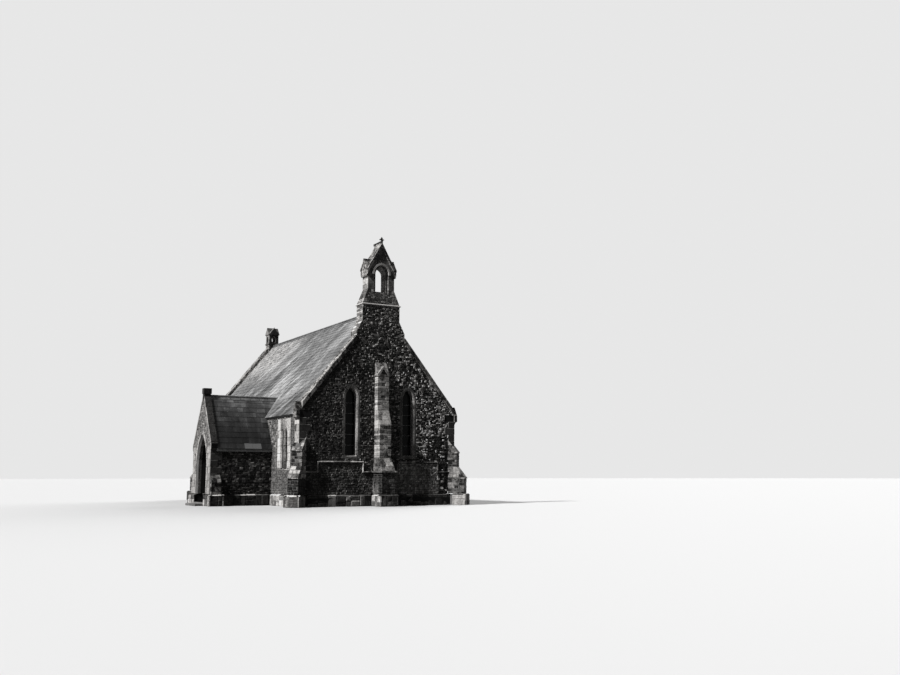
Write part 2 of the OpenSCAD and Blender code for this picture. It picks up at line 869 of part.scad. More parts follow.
module corner_buttress() {
    s = tan(corner_slope);
    lip = corner_base_d + drip_out;
    mid = corner_mid_d + drip_out;
    mid_h = corner_base_h + s * (lip - corner_mid_d) + corner_stage_h;
    difference() {
        corner_frame() rotate([90, 0, 0]) translate([0, 0, -corner_w / 2])
            linear_extrude(corner_w)
                polygon([[-corner_w, footing_h], [corner_base_d, footing_h],
                         [corner_base_d, corner_base_h - drip_t],
                         [lip, corner_base_h - drip_t], [lip, corner_base_h],
                         [corner_mid_d, corner_base_h + s * (lip - corner_mid_d)],
                         [corner_mid_d, mid_h - drip_t], [mid, mid_h - drip_t], [mid, mid_h],
                         [-corner_w, mid_h + s * (mid + corner_w)]]);
        translate([-big, -nave_hl, -eps]) cube([big + nave_hw, nave_l, big]);
    }
}

// Room for the string to stop against a corner buttress
module corner_clear() {
    corner_frame() translate([-big / 2, -corner_w / 2, 0]) cube([big, corner_w, big]);
}

module corner_buttresses() {
    color(stone) both_gables() both_sides() corner_buttress();
}

// Bellcote

module bellcote_shaft() {
    color(stone) along_y(-nave_hl, shaft_d)
        polygon([[-shoulder_hw, bell_seat_h], [shoulder_hw, bell_seat_h],
                 [shoulder_hw, shoulder_h], [shaft_hw, shaft_foot_h],
                 [shaft_hw, bell_string_h], [-shaft_hw, bell_string_h],
                 [-shaft_hw, shaft_foot_h], [-shoulder_hw, shoulder_h]]);
}

// String outline over a width, weathered on top and splayed below
module bell_string_outline(a, b) {
    o = bell_string_out;
    polygon([[a, bell_string_h], [b, bell_string_h],
             [b + o, bell_string_h + bell_string_t * 0.3],
             [b + o, bell_string_h + bell_string_t * 0.65], [b, splay_h], [a, splay_h],
             [a - o, bell_string_h + bell_string_t * 0.65],
             [a - o, bell_string_h + bell_string_t * 0.3]]);
}

module bellcote_string() {
    o = bell_string_out;
    color(dressed) intersection() {
        along_y(-nave_hl - o, shaft_d + 2 * o) bell_string_outline(-shaft_hw, shaft_hw);
        along_x(-shaft_hw - o, 2 * (shaft_hw + o))
            bell_string_outline(-nave_hl, -nave_hl + shaft_d);
    }
}

// Height of the underside of the bellcote roof at a distance from its centre
function belfry_top(x) = bell_ridge_h - bell_roof_slope * x - bell_roof_drop;

// Outline of the belfry opening from a foot upwards, grown by a border
module belfry_arch(foot, grow) {
    pointed(bell_open_w, foot + grow, bell_spring_h, belfry_sharp, grow);
}

module belfry() {
    y1 = belfry_y + belfry_d;
    hw = belfry_hw;
    color(stone) difference() {
        union() {
            intersection() {
                along_y(-nave_hl, shaft_d)
                    polygon([[-shaft_hw, splay_h], [shaft_hw, splay_h], [hw, splay_top_h],
                             [-hw, splay_top_h]]);
                along_x(-shaft_hw, 2 * shaft_hw)
                    polygon([[-nave_hl, splay_h], [-nave_hl + shaft_d, splay_h],
                             [y1, splay_top_h], [belfry_y, splay_top_h]]);
            }
            along_y(belfry_y, belfry_d)
                polygon([[-hw, splay_top_h - eps], [hw, splay_top_h - eps],
                         [hw, belfry_top(hw)], [0, belfry_top(0)], [-hw, belfry_top(hw)]]);
        }
        along_y(-nave_hl - eps, shaft_d + 2 * eps) belfry_arch(bell_sill_h, 0);
        along_y(-nave_hl - eps, belfry_y + nave_hl + bell_order_in + eps)
            belfry_arch(bell_sill_h - bell_sill_fall, bell_order_w);
    }
}

module hood_moulds() {
    foot = bell_spring_h - hood_foot;
    color(dressed) for (y = [belfry_y - hood_out, belfry_y + belfry_d])
        along_y(y, hood_out) difference() {
            belfry_arch(foot, bell_order_w + hood_w);
            belfry_arch(foot - eps, bell_order_w);
        }
}

// Cross section of the bellcote roof stones in X and Z
module bell_roof_outline() {
    polygon([[-bell_roof_hw, bell_roof_h], [0, bell_ridge_h], [bell_roof_hw, bell_roof_h],
             [bell_roof_hw, bell_roof_h - bell_roof_drop], [0, bell_ridge_h - bell_roof_drop],
             [-bell_roof_hw, bell_roof_h - bell_roof_drop]]);
}

// Roll on a rib along the ridge of the bellcote roof
module bell_crest() {
    along_y(belfry_y - bell_roof_out, bell_roof_d + bell_crest_out) {
        translate([0, bell_ridge_h + bell_crest_h]) circle(r = bell_roll_r);
        translate([-bell_roll_r / 2, bell_ridge_h - bell_roll_r])
            square([bell_roll_r, bell_crest_h + bell_roll_r]);
    }
}

// Room for the belfry and the air under the bellcote roof
module under_bell_roof() {
    hw = belfry_hw;
    along_y(belfry_y - bell_roof_d, 3 * bell_roof_d)
        polygon([[-hw, 0], [hw, 0], [hw, belfry_top(hw)], [0, belfry_top(0)],
                 [-hw, belfry_top(hw)]]);
}

// A gabled block facing the side: corbel, gable and roof stones with a roll
module side_gablet() {
    out = bell_roof_hw + bell_string_out;
    block = gablet_hw - gablet_t / 2;
    foot = bell_roof_h + drip_t;
    apex = bell_roof_h + gablet_rise;
    translate([0, belfry_cy, 0]) {
        along_x(0, out - drip_out)
            polygon([[-block, bell_roof_h - gablet_block_h], [block, bell_roof_h - gablet_block_h],
                     [block, foot - gablet_t], [0, apex - gablet_t], [-block, foot - gablet_t]]);
        along_x(0, out) {
            gablet_outline(gablet_hw, foot, apex, gablet_t * 0.8);
            translate([0, apex]) circle(r = bell_roll_r * 0.8);
        }
    }
}

module bellcote_roof() {
    color(dressed) difference() {
        union() {
            along_y(belfry_y - bell_roof_out, bell_roof_d) bell_roof_outline();
            bell_crest();
            both_sides() side_gablet();
        }
        under_bell_roof();
    }
}

// A turned stem with a pointed bud and short arms, at the front of the ridge
module finial() {
    r = finial_r;
    h = finial_h;
    color(dressed) difference() {
        translate([0, belfry_y - bell_roof_out + 2 * r, bell_ridge_h]) {
            rotate_extrude()
                polygon([[0, -r], [1.6 * r, -r], [1.6 * r, 0.2 * h], [r, 0.3 * h],
                         [r, 0.6 * h], [1.7 * r, 0.66 * h], [0, h]]);
            translate([-finial_arm, 0, 0.48 * h]) rotate([0, 90, 0])
                cylinder(h = 2 * finial_arm, r = 0.75 * r);
        }
        along_y(belfry_y - bell_roof_out - eps, bell_roof_d) bell_roof_outline();
        bell_crest();
    }
}

// Turret on the east gable

module turret_shaft() {
    color(stone) translate([-turret_w / 2, nave_hl - turret_w, turret_seat_h])
        cube([turret_w, turret_w, turret_h - turret_seat_h]);
}

// An opening with a round foot and a pointed head, from its lowest point up
module turret_opening() {
    r = turret_open_w / 2;
    translate([0, r]) circle(r = r);
    pointed(turret_open_w, r, r + turret_jamb_h, window_sharp);
}

module turret_head() {
    w = turret_w + 2 * turret_band_out;
    top = turret_h + turret_band_h;
    color(dressed) difference() {
        union() {
            translate([-w / 2, turret_cy - w / 2, turret_h]) cube([w, w, turret_band_h]);
            translate([-turret_w / 2, nave_hl - turret_w, top - eps])
                cube([turret_w, turret_w, turret_head_h + eps]);
        }
        translate([0, 0, top + turret_sill]) {
            along_y(turret_cy - turret_w, 2 * turret_w) turret_opening();
            along_x(-turret_w, 2 * turret_w) translate([turret_cy, 0]) turret_opening();
        }
    }
}

module turret_gable_outline() {
    hw = turret_w / 2 + turret_out;
    polygon([[-hw, 0], [hw, 0], [0, turret_gablet_h]]);
    translate([0, turret_gablet_h]) circle(r = bell_roll_r * 0.6);
}

module turret_roof() {
    w = turret_w + 2 * turret_out;
    color(dressed) translate([0, 0, turret_h + turret_band_h + turret_head_h]) {
        along_y(turret_cy - w / 2, w) turret_gable_outline();
        along_x(-w / 2, w) translate([turret_cy, 0]) turret_gable_outline();
    }
}

// Porch

// Everything that the nave fills beside the porch, as one run along Y
module nave_solid() {
    along_y(-nave_hl, nave_l)
        polygon([[-nave_hw, -big], [-nave_hw, eaves_h], [-eave_points[1][0], eave_points[1][1]],
                 [-eave_points[0][0], eave_points[0][1]], [0, ridge_h], [nave_hw, 0],
                 [nave_hw, -big]]);
}

module porch_footing() {
    butt_cy = porch_hw + porch_butt_d / 2;
    color(stone) difference() {
        union() {
            footing_block(-porch_x, porch_cy - porch_hw, -nave_hw + footing_out + eps,
                          porch_cy + porch_hw);
            for (y = [porch_cy - butt_cy, porch_cy + butt_cy])
                footing_block(-porch_x, y - porch_butt_d / 2, -porch_x + porch_butt_w,
                              y + porch_butt_d / 2);
        }
        translate([-porch_x + porch_front_t, porch_cy - porch_hw + porch_side_t, -eps])
            cube([porch_x, porch_w - 2 * porch_side_t, footing_h + 2 * eps]);
        translate([-porch_x - footing_out - eps, porch_cy - door_w / 2, porch_floor_h])
            cube([porch_x, door_w, footing_h]);
        translate([-nave_hw, porch_cy - porch_w, -eps]) cube([nave_hw, 2 * porch_w, nave_hw]);
    }
}

module porch_floor() {
    color(dressed)
        translate([-porch_x + porch_front_t, porch_cy - porch_hw + porch_side_t, 0])
            cube([porch_x - porch_front_t - nave_hw, porch_w - 2 * porch_side_t, porch_floor_h]);
}

// The east side wall of the porch, drawn about the porch centre line
module porch_side_wall() {
    inner = porch_hw - porch_side_t;
    along_x(-porch_x + porch_front_t, porch_x - porch_front_t - nave_hw)
        polygon([[inner, footing_h], [porch_hw, footing_h], [porch_hw, porch_eaves_h],
                 [inner, porch_eaves_h + porch_slope * porch_side_t]]);
}

module porch_west_wall() {
    color(stone) translate([0, porch_cy, 0]) mirror([0, 1, 0]) porch_side_wall();
}

module porch_east_wall() {
    color(stone) translate([0, porch_cy, 0]) porch_side_wall();
}

module porch_gable_outline(drop) {
    side = porch_ridge_h - drop - porch_slope * porch_hw;
    polygon([[-porch_hw, footing_h], [porch_hw, footing_h], [porch_hw, side],
             [0, porch_ridge_h - drop], [-porch_hw, side]]);
}

// The porch front between its parapet slopes, drawn about the porch centre line
module porch_front() {
    difference() {
        union() {
            along_x(-porch_x, porch_parapet_t) porch_gable_outline(0);
            along_x(-porch_x + porch_parapet_t - eps, porch_front_t - porch_parapet_t + eps)
                porch_gable_outline(porch_drop);
        }
        along_x(-porch_x - eps, porch_front_t + 2 * eps)
            pointed(door_w, porch_floor_h, door_spring_h, door_sharp);
        door_chamfer();
    }
}

// Chamfer round the porch doorway, from its floor to its apex
module door_chamfer() {
    w = door_w;
    r = door_sharp * w;
    c = chamfer + eps;
    translate([-porch_x + chamfer, 0, 0]) rotate([90, 0, -90]) {
        translate([0, door_spring_h, 0]) intersection() {
            translate([r - w / 2, 0, 0]) cylinder(h = c, r1 = r, r2 = r + c);
            translate([w / 2 - r, 0, 0]) cylinder(h = c, r1 = r, r2 = r + c);
            translate([-w, 0, 0]) cube([2 * w, 2 * w, c]);
        }
        translate([0, door_spring_h, 0]) rotate([90, 0, 0])
            linear_extrude(door_spring_h - footing_h)
                polygon([[-w / 2, 0], [w / 2, 0], [w / 2 + c, c], [-w / 2 - c, c]]);
    }
}

module porch_jamb() {
    intersection() {
        porch_front();
        translate([-porch_x, 0, 0]) cube([porch_front_t, porch_w, door_spring_h]);
    }
}

module porch_jamb_west() {
    color(stone) translate([0, porch_cy, 0]) mirror([0, 1, 0]) porch_jamb();
}

module porch_jamb_east() {
    color(stone) translate([0, porch_cy, 0]) porch_jamb();
}

module porch_arch() {
    color(stone) translate([0, porch_cy, 0]) intersection() {
        porch_front();
        translate([-porch_x, -porch_w, door_spring_h])
            cube([porch_front_t, 2 * porch_w, nave_w]);
    }
}

// One slope of the porch roof, the east one for 1 and the west one for -1
module porch_roof_slope(side) {
    y = porch_hw + porch_eaves_out;
    color(slate) difference() {
        translate([0, porch_cy, 0])
            along_x(-porch_x + porch_parapet_t, porch_x - porch_parapet_t)
                polygon([[0, porch_ridge_h], [side * y, porch_ridge_h - porch_slope * y],
                         [side * y, porch_ridge_h - porch_slope * y - porch_roof_t],
                         [side * porch_hw, porch_eaves_h], [0, porch_ridge_h - porch_drop]]);
        nave_solid();
    }
}

module porch_roof_east() {
    porch_roof_slope(1);
}

module porch_roof_west() {
    porch_roof_slope(-1);
}

// Coping on the porch gable, its feet turned down as toes over the eaves
module porch_coping() {
    rise = porch_coping_t / cos(porch_pitch);
    y = porch_hw + porch_eaves_out;
    foot = porch_ridge_h - porch_slope * y;
    side = porch_ridge_h - porch_slope * porch_hw;
    x = -porch_x - porch_coping_out;
    color(dressed) difference() {
        both_porch_sides() {
            along_x(x, porch_parapet_t + 2 * porch_coping_out)
                polygon([[0, porch_ridge_h], [y, foot], [y, foot + rise],
                         [0, porch_ridge_h + rise]]);
            along_x(x, porch_parapet_t + porch_coping_out)
                polygon([[porch_hw, side - porch_toe_h], [y, foot], [y, foot + eps],
                         [porch_hw, side + eps]]);
        }
        translate([0, porch_cy, 0]) apex_block_room();
    }
}

// The apex block and its cap, down to the slopes of the parapet
module apex_block_room() {
    neck = apex_block_w / 2 - apex_cap_out;
    z = porch_ridge_h - porch_slope * neck;
    cap_foot = porch_ridge_h + apex_block_h - apex_cap_h;
    x = -porch_x - porch_coping_out;
    d = porch_parapet_t + 2 * porch_coping_out;
    translate([x, -neck, z]) cube([d, 2 * neck, cap_foot + eps - z]);
    translate([x - apex_cap_out, -apex_block_w / 2, cap_foot])
        cube([d + 2 * apex_cap_out, apex_block_w, apex_cap_h]);
}

module porch_apex_block() {
    color(stone) translate([0, porch_cy, 0]) difference() {
        apex_block_room();
        along_x(-porch_x - porch_w, 2 * porch_w)
            polygon([[-porch_hw, porch_ridge_h - porch_slope * porch_hw],
                     [porch_hw, porch_ridge_h - porch_slope * porch_hw], [0, porch_ridge_h]]);
    }
}

module porch_buttresses() {
    out = porch_hw + porch_butt_d;
    color(stone) both_porch_sides() along_x(-porch_x, porch_butt_w)
        polygon([[porch_hw, footing_h], [out, footing_h], [out, porch_butt_h - drip_t],
                 [out + drip_out, porch_butt_h - drip_t], [out + drip_out, porch_butt_h],
                 [porch_hw, porch_butt_h + porch_butt_rise]]);
}

module doorstep() {
    color(dressed)
        translate([-porch_x - footing_out - step_d, porch_cy - door_w / 2 - coping_out, 0])
            cube([step_d, door_w + 2 * coping_out, step_h]);
}

nave_footing();
nave_floor();
west_wall();
east_wall();
north_wall();
south_wall_west();
south_wall_east();
south_wall_over_door();
nave_roof_south();
nave_roof_north();
ridge_tiles();
west_coping();
east_coping();
kneelers();
west_string();
east_string();
lancet_surrounds();
side_window_surrounds();
gable_glazing();
side_glazing();
central_buttress();
corner_buttresses();
bellcote_shaft();
bellcote_string();
belfry();
hood_moulds();
bellcote_roof();
finial();
turret_shaft();
turret_head();
turret_roof();
porch_footing();
porch_floor();
porch_west_wall();
porch_east_wall();
porch_jamb_west();
porch_jamb_east();
porch_arch();
porch_roof_west();
porch_roof_east();
porch_coping();
porch_apex_block();
porch_buttresses();
doorstep();
nave_door();
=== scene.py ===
"""Looks of the small stone chapel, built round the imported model."""
import math
import random

import bmesh
import bpy
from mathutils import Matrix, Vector


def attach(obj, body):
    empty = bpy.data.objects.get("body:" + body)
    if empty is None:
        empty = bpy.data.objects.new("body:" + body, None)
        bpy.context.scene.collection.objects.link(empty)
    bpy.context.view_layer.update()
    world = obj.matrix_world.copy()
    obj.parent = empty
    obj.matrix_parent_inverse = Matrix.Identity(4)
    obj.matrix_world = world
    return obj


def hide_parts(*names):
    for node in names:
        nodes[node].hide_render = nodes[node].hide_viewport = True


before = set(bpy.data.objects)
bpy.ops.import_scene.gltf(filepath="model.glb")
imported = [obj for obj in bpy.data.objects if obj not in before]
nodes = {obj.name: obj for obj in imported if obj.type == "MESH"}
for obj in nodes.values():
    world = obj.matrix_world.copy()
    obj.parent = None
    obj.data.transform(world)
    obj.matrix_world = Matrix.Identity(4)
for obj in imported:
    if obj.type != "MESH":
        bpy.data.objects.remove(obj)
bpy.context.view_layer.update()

# Camera of the photo, in the row's frame
CAMERA_PLACE = (-18.02, -44.65, 1.284)
CAMERA_YAW = 0.522
CAMERA_PITCH = 0.144
CAMERA_LENS = 38.13
SENSOR_WIDTH = 36.0

# Axes
X, Y, Z = (1, 0, 0), (0, 1, 0), (0, 0, 1)
EAST_TO_WEST, NORTH_TO_SOUTH = (0, -1, 0), (-1, 0, 0)
BOTH = (-1, 1)
CORNERS = [(x, y) for x in BOTH for y in BOTH]

# Sizes of the nave in metres, as in the model's source
NAVE_HW = 3.7
NAVE_HL = 7.25
EAVES = 3.82
FOOTING = 0.5
FLOOR = 0.3
PITCH = math.radians(50.8)
SLOPE = math.tan(PITCH)
RIDGE = EAVES + 0.1 / math.cos(PITCH) + SLOPE * NAVE_HW
GABLE_FOOT = RIDGE - SLOPE * NAVE_HW
EAVE_X = NAVE_HW + 0.11
SIDE_WALL = 0.65
GABLE_WALL = 0.75
PARAPET = 0.4
COPING_OUT = 0.05

# Windows: lancets in the gables, pairs of lights in the side walls
LANCET_X = 1.36
LANCET_W = 0.5
LANCET_SHARP = 1.0
LANCET_SILL = 2.16
LANCET_SPRING = 4.6
SURROUND = 0.15
GLASS_IN = 0.28
MULLION = 0.22
LIGHT_W = (0.7 - MULLION) / 2
LIGHT_SHARP = 0.78
SIDE_SILL = 1.6
SIDE_SPRING = 3.06
SIDE_DRESSED = 1.6
SIDE_FOOT = 1.51
SIDE_TOP = 3.71
WINDOW_YS = [-NAVE_HL + 1.75 + 2.75 * i for i in range(5)]
PORCH_BAY = 1

# Bellcote and turret
SHOULDER_HW = 1.165
SHAFT_HW = 0.905
SHAFT_D = 0.64
BELL_SEAT = RIDGE - SLOPE * SHOULDER_HW
SHOULDER = round(BELL_SEAT * 1000 + 430) / 1000
SHAFT_FOOT = SHOULDER + 0.505
BELL_STRING = SHAFT_FOOT + 0.67
SPLAY_TOP = BELL_STRING + 0.08 + 0.65
BELL_SPRING = SPLAY_TOP + 0.71
BELL_FEET = BELL_SPRING + 0.17
BELL_ROOF_RISE = 1.26
BELL_W = 0.5
BELL_SHARP = 0.62
TURRET_HW = 0.275
TURRET_SEAT = RIDGE - SLOPE * TURRET_HW
TURRET_TOP = round(TURRET_SEAT * 1000 + 450) / 1000

# Porch and doorways
PORCH_X = 6.43
PORCH_CY = -NAVE_HL + 4.6
PORCH_HW = 1.36
PORCH_EAVES = 2.36
PORCH_PITCH = math.radians(58)
PORCH_SLOPE = math.tan(PORCH_PITCH)
PORCH_RIDGE = PORCH_EAVES + 0.12 / math.cos(PORCH_PITCH) + PORCH_SLOPE * PORCH_HW
PORCH_GABLE_FOOT = PORCH_RIDGE - PORCH_SLOPE * PORCH_HW
PORCH_EAVE_Y = PORCH_HW + 0.09
PORCH_SLATE_END = PORCH_X - 0.24 - 0.03
DOOR_W = 1.45
DOOR_SPRING = 1.77
INNER_DOOR_W = 1.1
INNER_SPRING = 1.9
INNER_DOOR_IN = 0.15

# Buttresses: each row has the start and end of a run of rubble beds, their least and greatest
# height, and the beds of the weathering above it
PIER_BEDS = ((FOOTING, 1.40, 0.08, 0.13, 1.405, 1.48, 1.67, 1.86, 2.04),
             (2.04, 3.36, 0.07, 0.13, 3.395, 3.44, 3.65, 3.86, 4.08),
             (4.08, 5.5, 0.07, 0.13, 5.54))
PIER_LEDGE = (1.42, 2.05)
PIER_HEAD = 5.56
SUNK_FACE = NAVE_HL + 0.3 + 0.035 - 0.06
CORNER_BEDS = ((FOOTING, 1.13, 0.09, 0.15, 1.155, 1.2, 1.36, 1.52, 1.68),
               (1.68, 2.26, 0.09, 0.15, 2.275, 2.32, 2.48, 2.64))
CORNER_LEDGE = (1.16, 1.68, 2.28)
PORCH_BEDS = ((FOOTING, 0.9, 0.09, 0.14, 0.955, 1.0, 1.17),)
SHAFT_BEDS = ((BELL_SEAT, SHOULDER - 0.03, 0.06, 0.09, SHOULDER),
              (SHOULDER, SHAFT_FOOT, 0.07, 0.1, SHAFT_FOOT),
              (SHAFT_FOOT, BELL_STRING, 0.06, 0.09))
BELFRY_BEDS = ((BELL_STRING + 0.08, SPLAY_TOP - 0.04, 0.06, 0.09, SPLAY_TOP),
               (SPLAY_TOP, BELL_SPRING - 0.1, 0.2, 0.28, BELL_SPRING),
               (BELL_SPRING, BELL_SPRING + 1.25, 0.13, 0.2))

# Beds of the quoins, which the rubble follows
QUOIN_H = 0.29
LEVELS = [FOOTING + QUOIN_H * i for i in range(12)]
QUOIN_LEAST = 0.08
QUOIN_OUT = 0.016
QUOIN_JOINT = 0.008

# Coursed rubble
COURSE = (0.055, 0.09)
RUBBLE_JOINT = 0.014
RUBBLE_WOBBLE = RUBBLE_JOINT * 0.4
RUBBLE_RISE = (0.003, 0.026)
RUBBLE_MOST = 0.028

# Slates: the tone above 1 marks the mended ones, low on the west slope of the porch
MENDED = 2.0
MENDED_X = (-4.85, -4.2)

# Stones in each half of the arch of a doorway
ARCH_STONES = 7


# Meshes

def new_object(name, data):
    obj = bpy.data.objects.new(name, data)
    bpy.context.scene.collection.objects.link(obj)
    return obj


class Heap:
    """Vertices, faces and tones of one piece after another, and their random draws."""

    def __init__(self, seed):
        self.rng = random.Random(seed)
        self.clear()

    def clear(self):
        self.verts, self.faces, self.tones = [], [], []

    def add(self, verts, faces, tone):
        start = len(self.verts)
        self.verts += [tuple(v) for v in verts]
        self.faces += [tuple(start + i for i in face) for face in faces]
        self.tones += [tone] * len(verts)

    def add_mesh(self, bm, tone):
        """Adds a mesh, which is freed."""
        bm.verts.index_update()
        self.add([v.co for v in bm.verts], [[v.index for v in f.verts] for f in bm.faces], tone)
        bm.free()

    def piece(self, name, material, slot, *replaced):
        mesh = bpy.data.meshes.new(name)
        mesh.from_pydata(self.verts, [], self.faces)
        tone = mesh.attributes.new("tone", "FLOAT", "POINT")
        tone.data.foreach_set("value", self.tones)
        bm = bmesh.new()
        bm.from_mesh(mesh)
        bmesh.ops.recalc_face_normals(bm, faces=bm.faces)
        bm.to_mesh(mesh)
        bm.free()
        mesh.materials.append(material)
        obj = new_object(name, mesh)
        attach(obj, "root")
        if replaced:
            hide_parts(*replaced)
        self.clear()

    def steps(self, start, end, low, high):
        """Uneven steps from start to end."""
        out = []
        x = start + self.rng.uniform(low, high)
        while x < end - low * 0.5:
            out.append(x)
            x += self.rng.uniform(low, high)
        return out

    def laid(self, rows):
        """Heights of the beds of several runs, each with the fixed beds above it."""
        beds = []
        for start, end, low, high, *fixed in rows:
            beds += self.steps(start, end, low, high) + fixed
        return beds

    def stagger(self, parts, axis, low, high, joint=0.006):
        """Cuts each part across an axis at places of its own."""
        out = []
        axis = Vector(axis).normalized()
        for bm in parts:
            lo, hi = reach_of(bm, axis)
            marks = self.steps(lo, hi, low, high) if hi - lo > 1.5 * low else []
            out += band_cut([bm], axis, marks, joint)
        return out

    def finish(self, parts, bevel, worn, tone=None):
        """Rounds the edges of cut stones, sets each back a little and gives it a tone."""
        for bm in parts:
            edges = [e for e in bm.edges if len(e.link_faces) == 2 and e.calc_face_angle(0) > 0.4]
            if bevel and edges:
                bmesh.ops.bevel(bm, geom=edges, offset=bevel, offset_type="OFFSET", segments=1,
                                profile=0.5, affect="EDGES", clamp_overlap=True)
            if worn:
                centre = centre_of(bm)
                size = max((v.co - centre).length for v in bm.verts)
                shrink = 1 - self.rng.uniform(0, worn) / max(size, 0.05)
                for v in bm.verts:
                    v.co = centre + (v.co - centre) * shrink
            self.add_mesh(bm, (tone or dressed_tone)(self.rng))


class Face:
    """A flat face with u along it, v up it and n pointing out."""

    def __init__(self, origin, u, v=Z):
        self.origin = Vector(origin)
        self.u = Vector(u).normalized()
        self.v = Vector(v).normalized()
        self.n = self.u.cross(self.v)

    def at(self, u, v, out=0.0):
        return self.origin + self.u * u + self.v * v + self.n * out

    def points(self, corners, *outs):
        """Points over four corners (u, v), with one distance out for all or one for each."""
        outs = outs if len(outs) > 1 else outs * 4
        return [self.at(u, v, out) for (u, v), out in zip(corners, outs)]


def rect(left, right, low, high):
    return [(left, low), (right, low), (right, high), (left, high)]


def pairs(values):
    return zip(values[:-1], values[1:])


def add_prism(heap, low, high, tone):
    """Adds a closed body between two rings of four points."""
    sides = [(i, (i + 1) % 4, 4 + (i + 1) % 4, 4 + i) for i in range(4)]
    heap.add(low + high, [(3, 2, 1, 0), (4, 5, 6, 7)] + sides, tone)


def add_bar(heap, a, b, side, up, width, thick, tone):
    """Adds a straight bar from a to b with a rectangular section."""
    s = side * (width / 2)
    t = up * (thick / 2)
    low, high = [[end - s - t, end + s - t, end + s + t, end - s + t] for end in (a, b)]
    add_prism(heap, low, high, tone)


def add_rod(heap, a, b, radius, tone, sides):
    """Adds a round rod from a to b."""
    axis = (b - a).normalized()
    side = axis.orthogonal().normalized()
    up = axis.cross(side)
    rings = []
    for end in (a, b):
        for angle in [i * math.tau / sides for i in range(sides)]:
            rings.append(end + (side * math.cos(angle) + up * math.sin(angle)) * radius)
    faces = [(i, (i + 1) % sides, sides + (i + 1) % sides, sides + i) for i in range(sides)]
    faces += [tuple(range(sides)), tuple(range(sides, 2 * sides))]
    heap.add(rings, faces, tone)


def add_stone(heap, quad, normal, back, rises, bevel, tone):
    """Adds one stone whose worn front stands out of a wall face over four corners."""
    shortest = min((quad[i] - quad[i - 1]).length for i in range(4))
    bevel = min(bevel, shortest * 0.3)
    ring = [p - normal * back for p in quad]
    ring += [p + normal * (rise * 0.4) for p, rise in zip(quad, rises)]
    for i, p in enumerate(quad):
        a = (quad[i - 1] - p).normalized()
        b = (quad[(i + 1) % 4] - p).normalized()
        ring.append(p + (a + b) * bevel + normal * rises[i])
    faces = [(3, 2, 1, 0), (8, 9, 10, 11)]
    for i in range(4):
        j = (i + 1) % 4
        faces += [(i, j, 4 + j, 4 + i), (4 + i, 4 + j, 8 + j, 8 + i)]
    heap.add(ring, faces, tone)


def add_block(heap, corner, axes, size, bevel, tone):
    """Adds a block with chamfered edges from one corner along three axes."""
    half = [s / 2 for s in size]
    bevel = min([bevel] + [h * 0.5 for h in half])
    centre = Vector(corner) + sum((Vector(a) * h for a, h in zip(axes, half)), Vector())
    bm = bmesh.new()
    for signs in [(x, y, z) for x in BOTH for y in BOTH for z in BOTH]:
        for k in range(3):
            reach = [s * (h if i == k else h - bevel) for i, (s, h) in enumerate(zip(signs, half))]
            bm.verts.new(centre + sum((Vector(a) * r for a, r in zip(axes, reach)), Vector()))
    bmesh.ops.convex_hull(bm, input=bm.verts)
    heap.add_mesh(bm, tone)


# Tones of single stones: 0 is dark and 1 pale, and some go a little past both

def flat(level):
    return lambda rng, *place: level


def even(low, high):
    return lambda rng, *place: rng.uniform(low, high)


def around(mean, spread, top=1.0):
    return lambda rng, *place: min(top, max(0.0, rng.gauss(mean, spread)))


dressed_tone = around(0.5, 0.16)


def rubble_tone(rng, *place):
    if rng.random() < 0.08:
        return rng.uniform(0.8, 1.0)
    return rng.uniform(0.0, 1.0) ** 1.5 * 0.85


def west_painted_light_tone(rng, x, z):
    """Painted light and shade on the west gable: blackest near the porch and in the corner by the
    north buttress, and lifted low down north of the pier.
    """
    tone = rubble_tone(rng)
    if x > (2.9 if z < 1.75 else 2.3) and z < 2.9:
        return 1.3 if tone > 0.8 else tone * 0.3
    if z < 1.75:
        return (0.2 if x < 0.4 else 0.58) + 0.35 * tone
    return tone * min(1.3, max(0.5, 0.88 + 0.15 * x))


def south_tone(rng, u, z):
    """The south wall is darker low down and beside the west corner; u runs west."""
    tone = rubble_tone(rng)
    return tone * 0.45 if u > 6.2 or z < 2.4 else tone


# Openings and the stretches of wall between them

def cut_spans(spans, lo, hi):
    """Takes the stretch from lo to hi out of a list of stretches."""
    out = []
    for a, b in spans:
        if hi <= a or lo >= b:
            out.append((a, b))
            continue
        if lo > a:
            out.append((a, lo))
        if hi < b:
            out.append((hi, b))
    return out


class Opening:
    """A pointed opening with a border of dressed stone round it."""

    def __init__(self, width, foot, spring, sharp=1.0, border=0.0):
        self.width, self.foot, self.spring, self.border = width, foot, spring, border
        self.radius = sharp * width
        self.shift = self.radius - width / 2
        self.top = spring + math.sqrt((self.radius + border) ** 2 - self.shift ** 2)

    def half(self, z):
        """Half its width with the border at a height."""
        if z <= self.spring:
            return self.width / 2 + self.border
        rise = (self.radius + self.border) ** 2 - (z - self.spring) ** 2
        return math.sqrt(rise) - self.shift if rise > 0 else 0.0

    def cut(self, spans, z, centre=0.0):
        if not self.foot <= z <= self.top:
            return spans
        return cut_spans(spans, centre - self.half(z), centre + self.half(z))


LANCET = Opening(LANCET_W, LANCET_SILL - SURROUND, LANCET_SPRING, LANCET_SHARP, SURROUND)
PORCH_DOOR = Opening(DOOR_W, 0.0, DOOR_SPRING, border=0.24)
INNER_DOOR = Opening(INNER_DOOR_W, 0.0, INNER_SPRING, border=0.17)


def quoin_lengths(index):
    """Lengths of quoin number index along X and along Y."""
    return (0.5, 0.31) if index % 2 else (0.31, 0.5)


def quoin_at(z, axis):
    return quoin_lengths(int((z - FOOTING) / QUOIN_H))[axis]


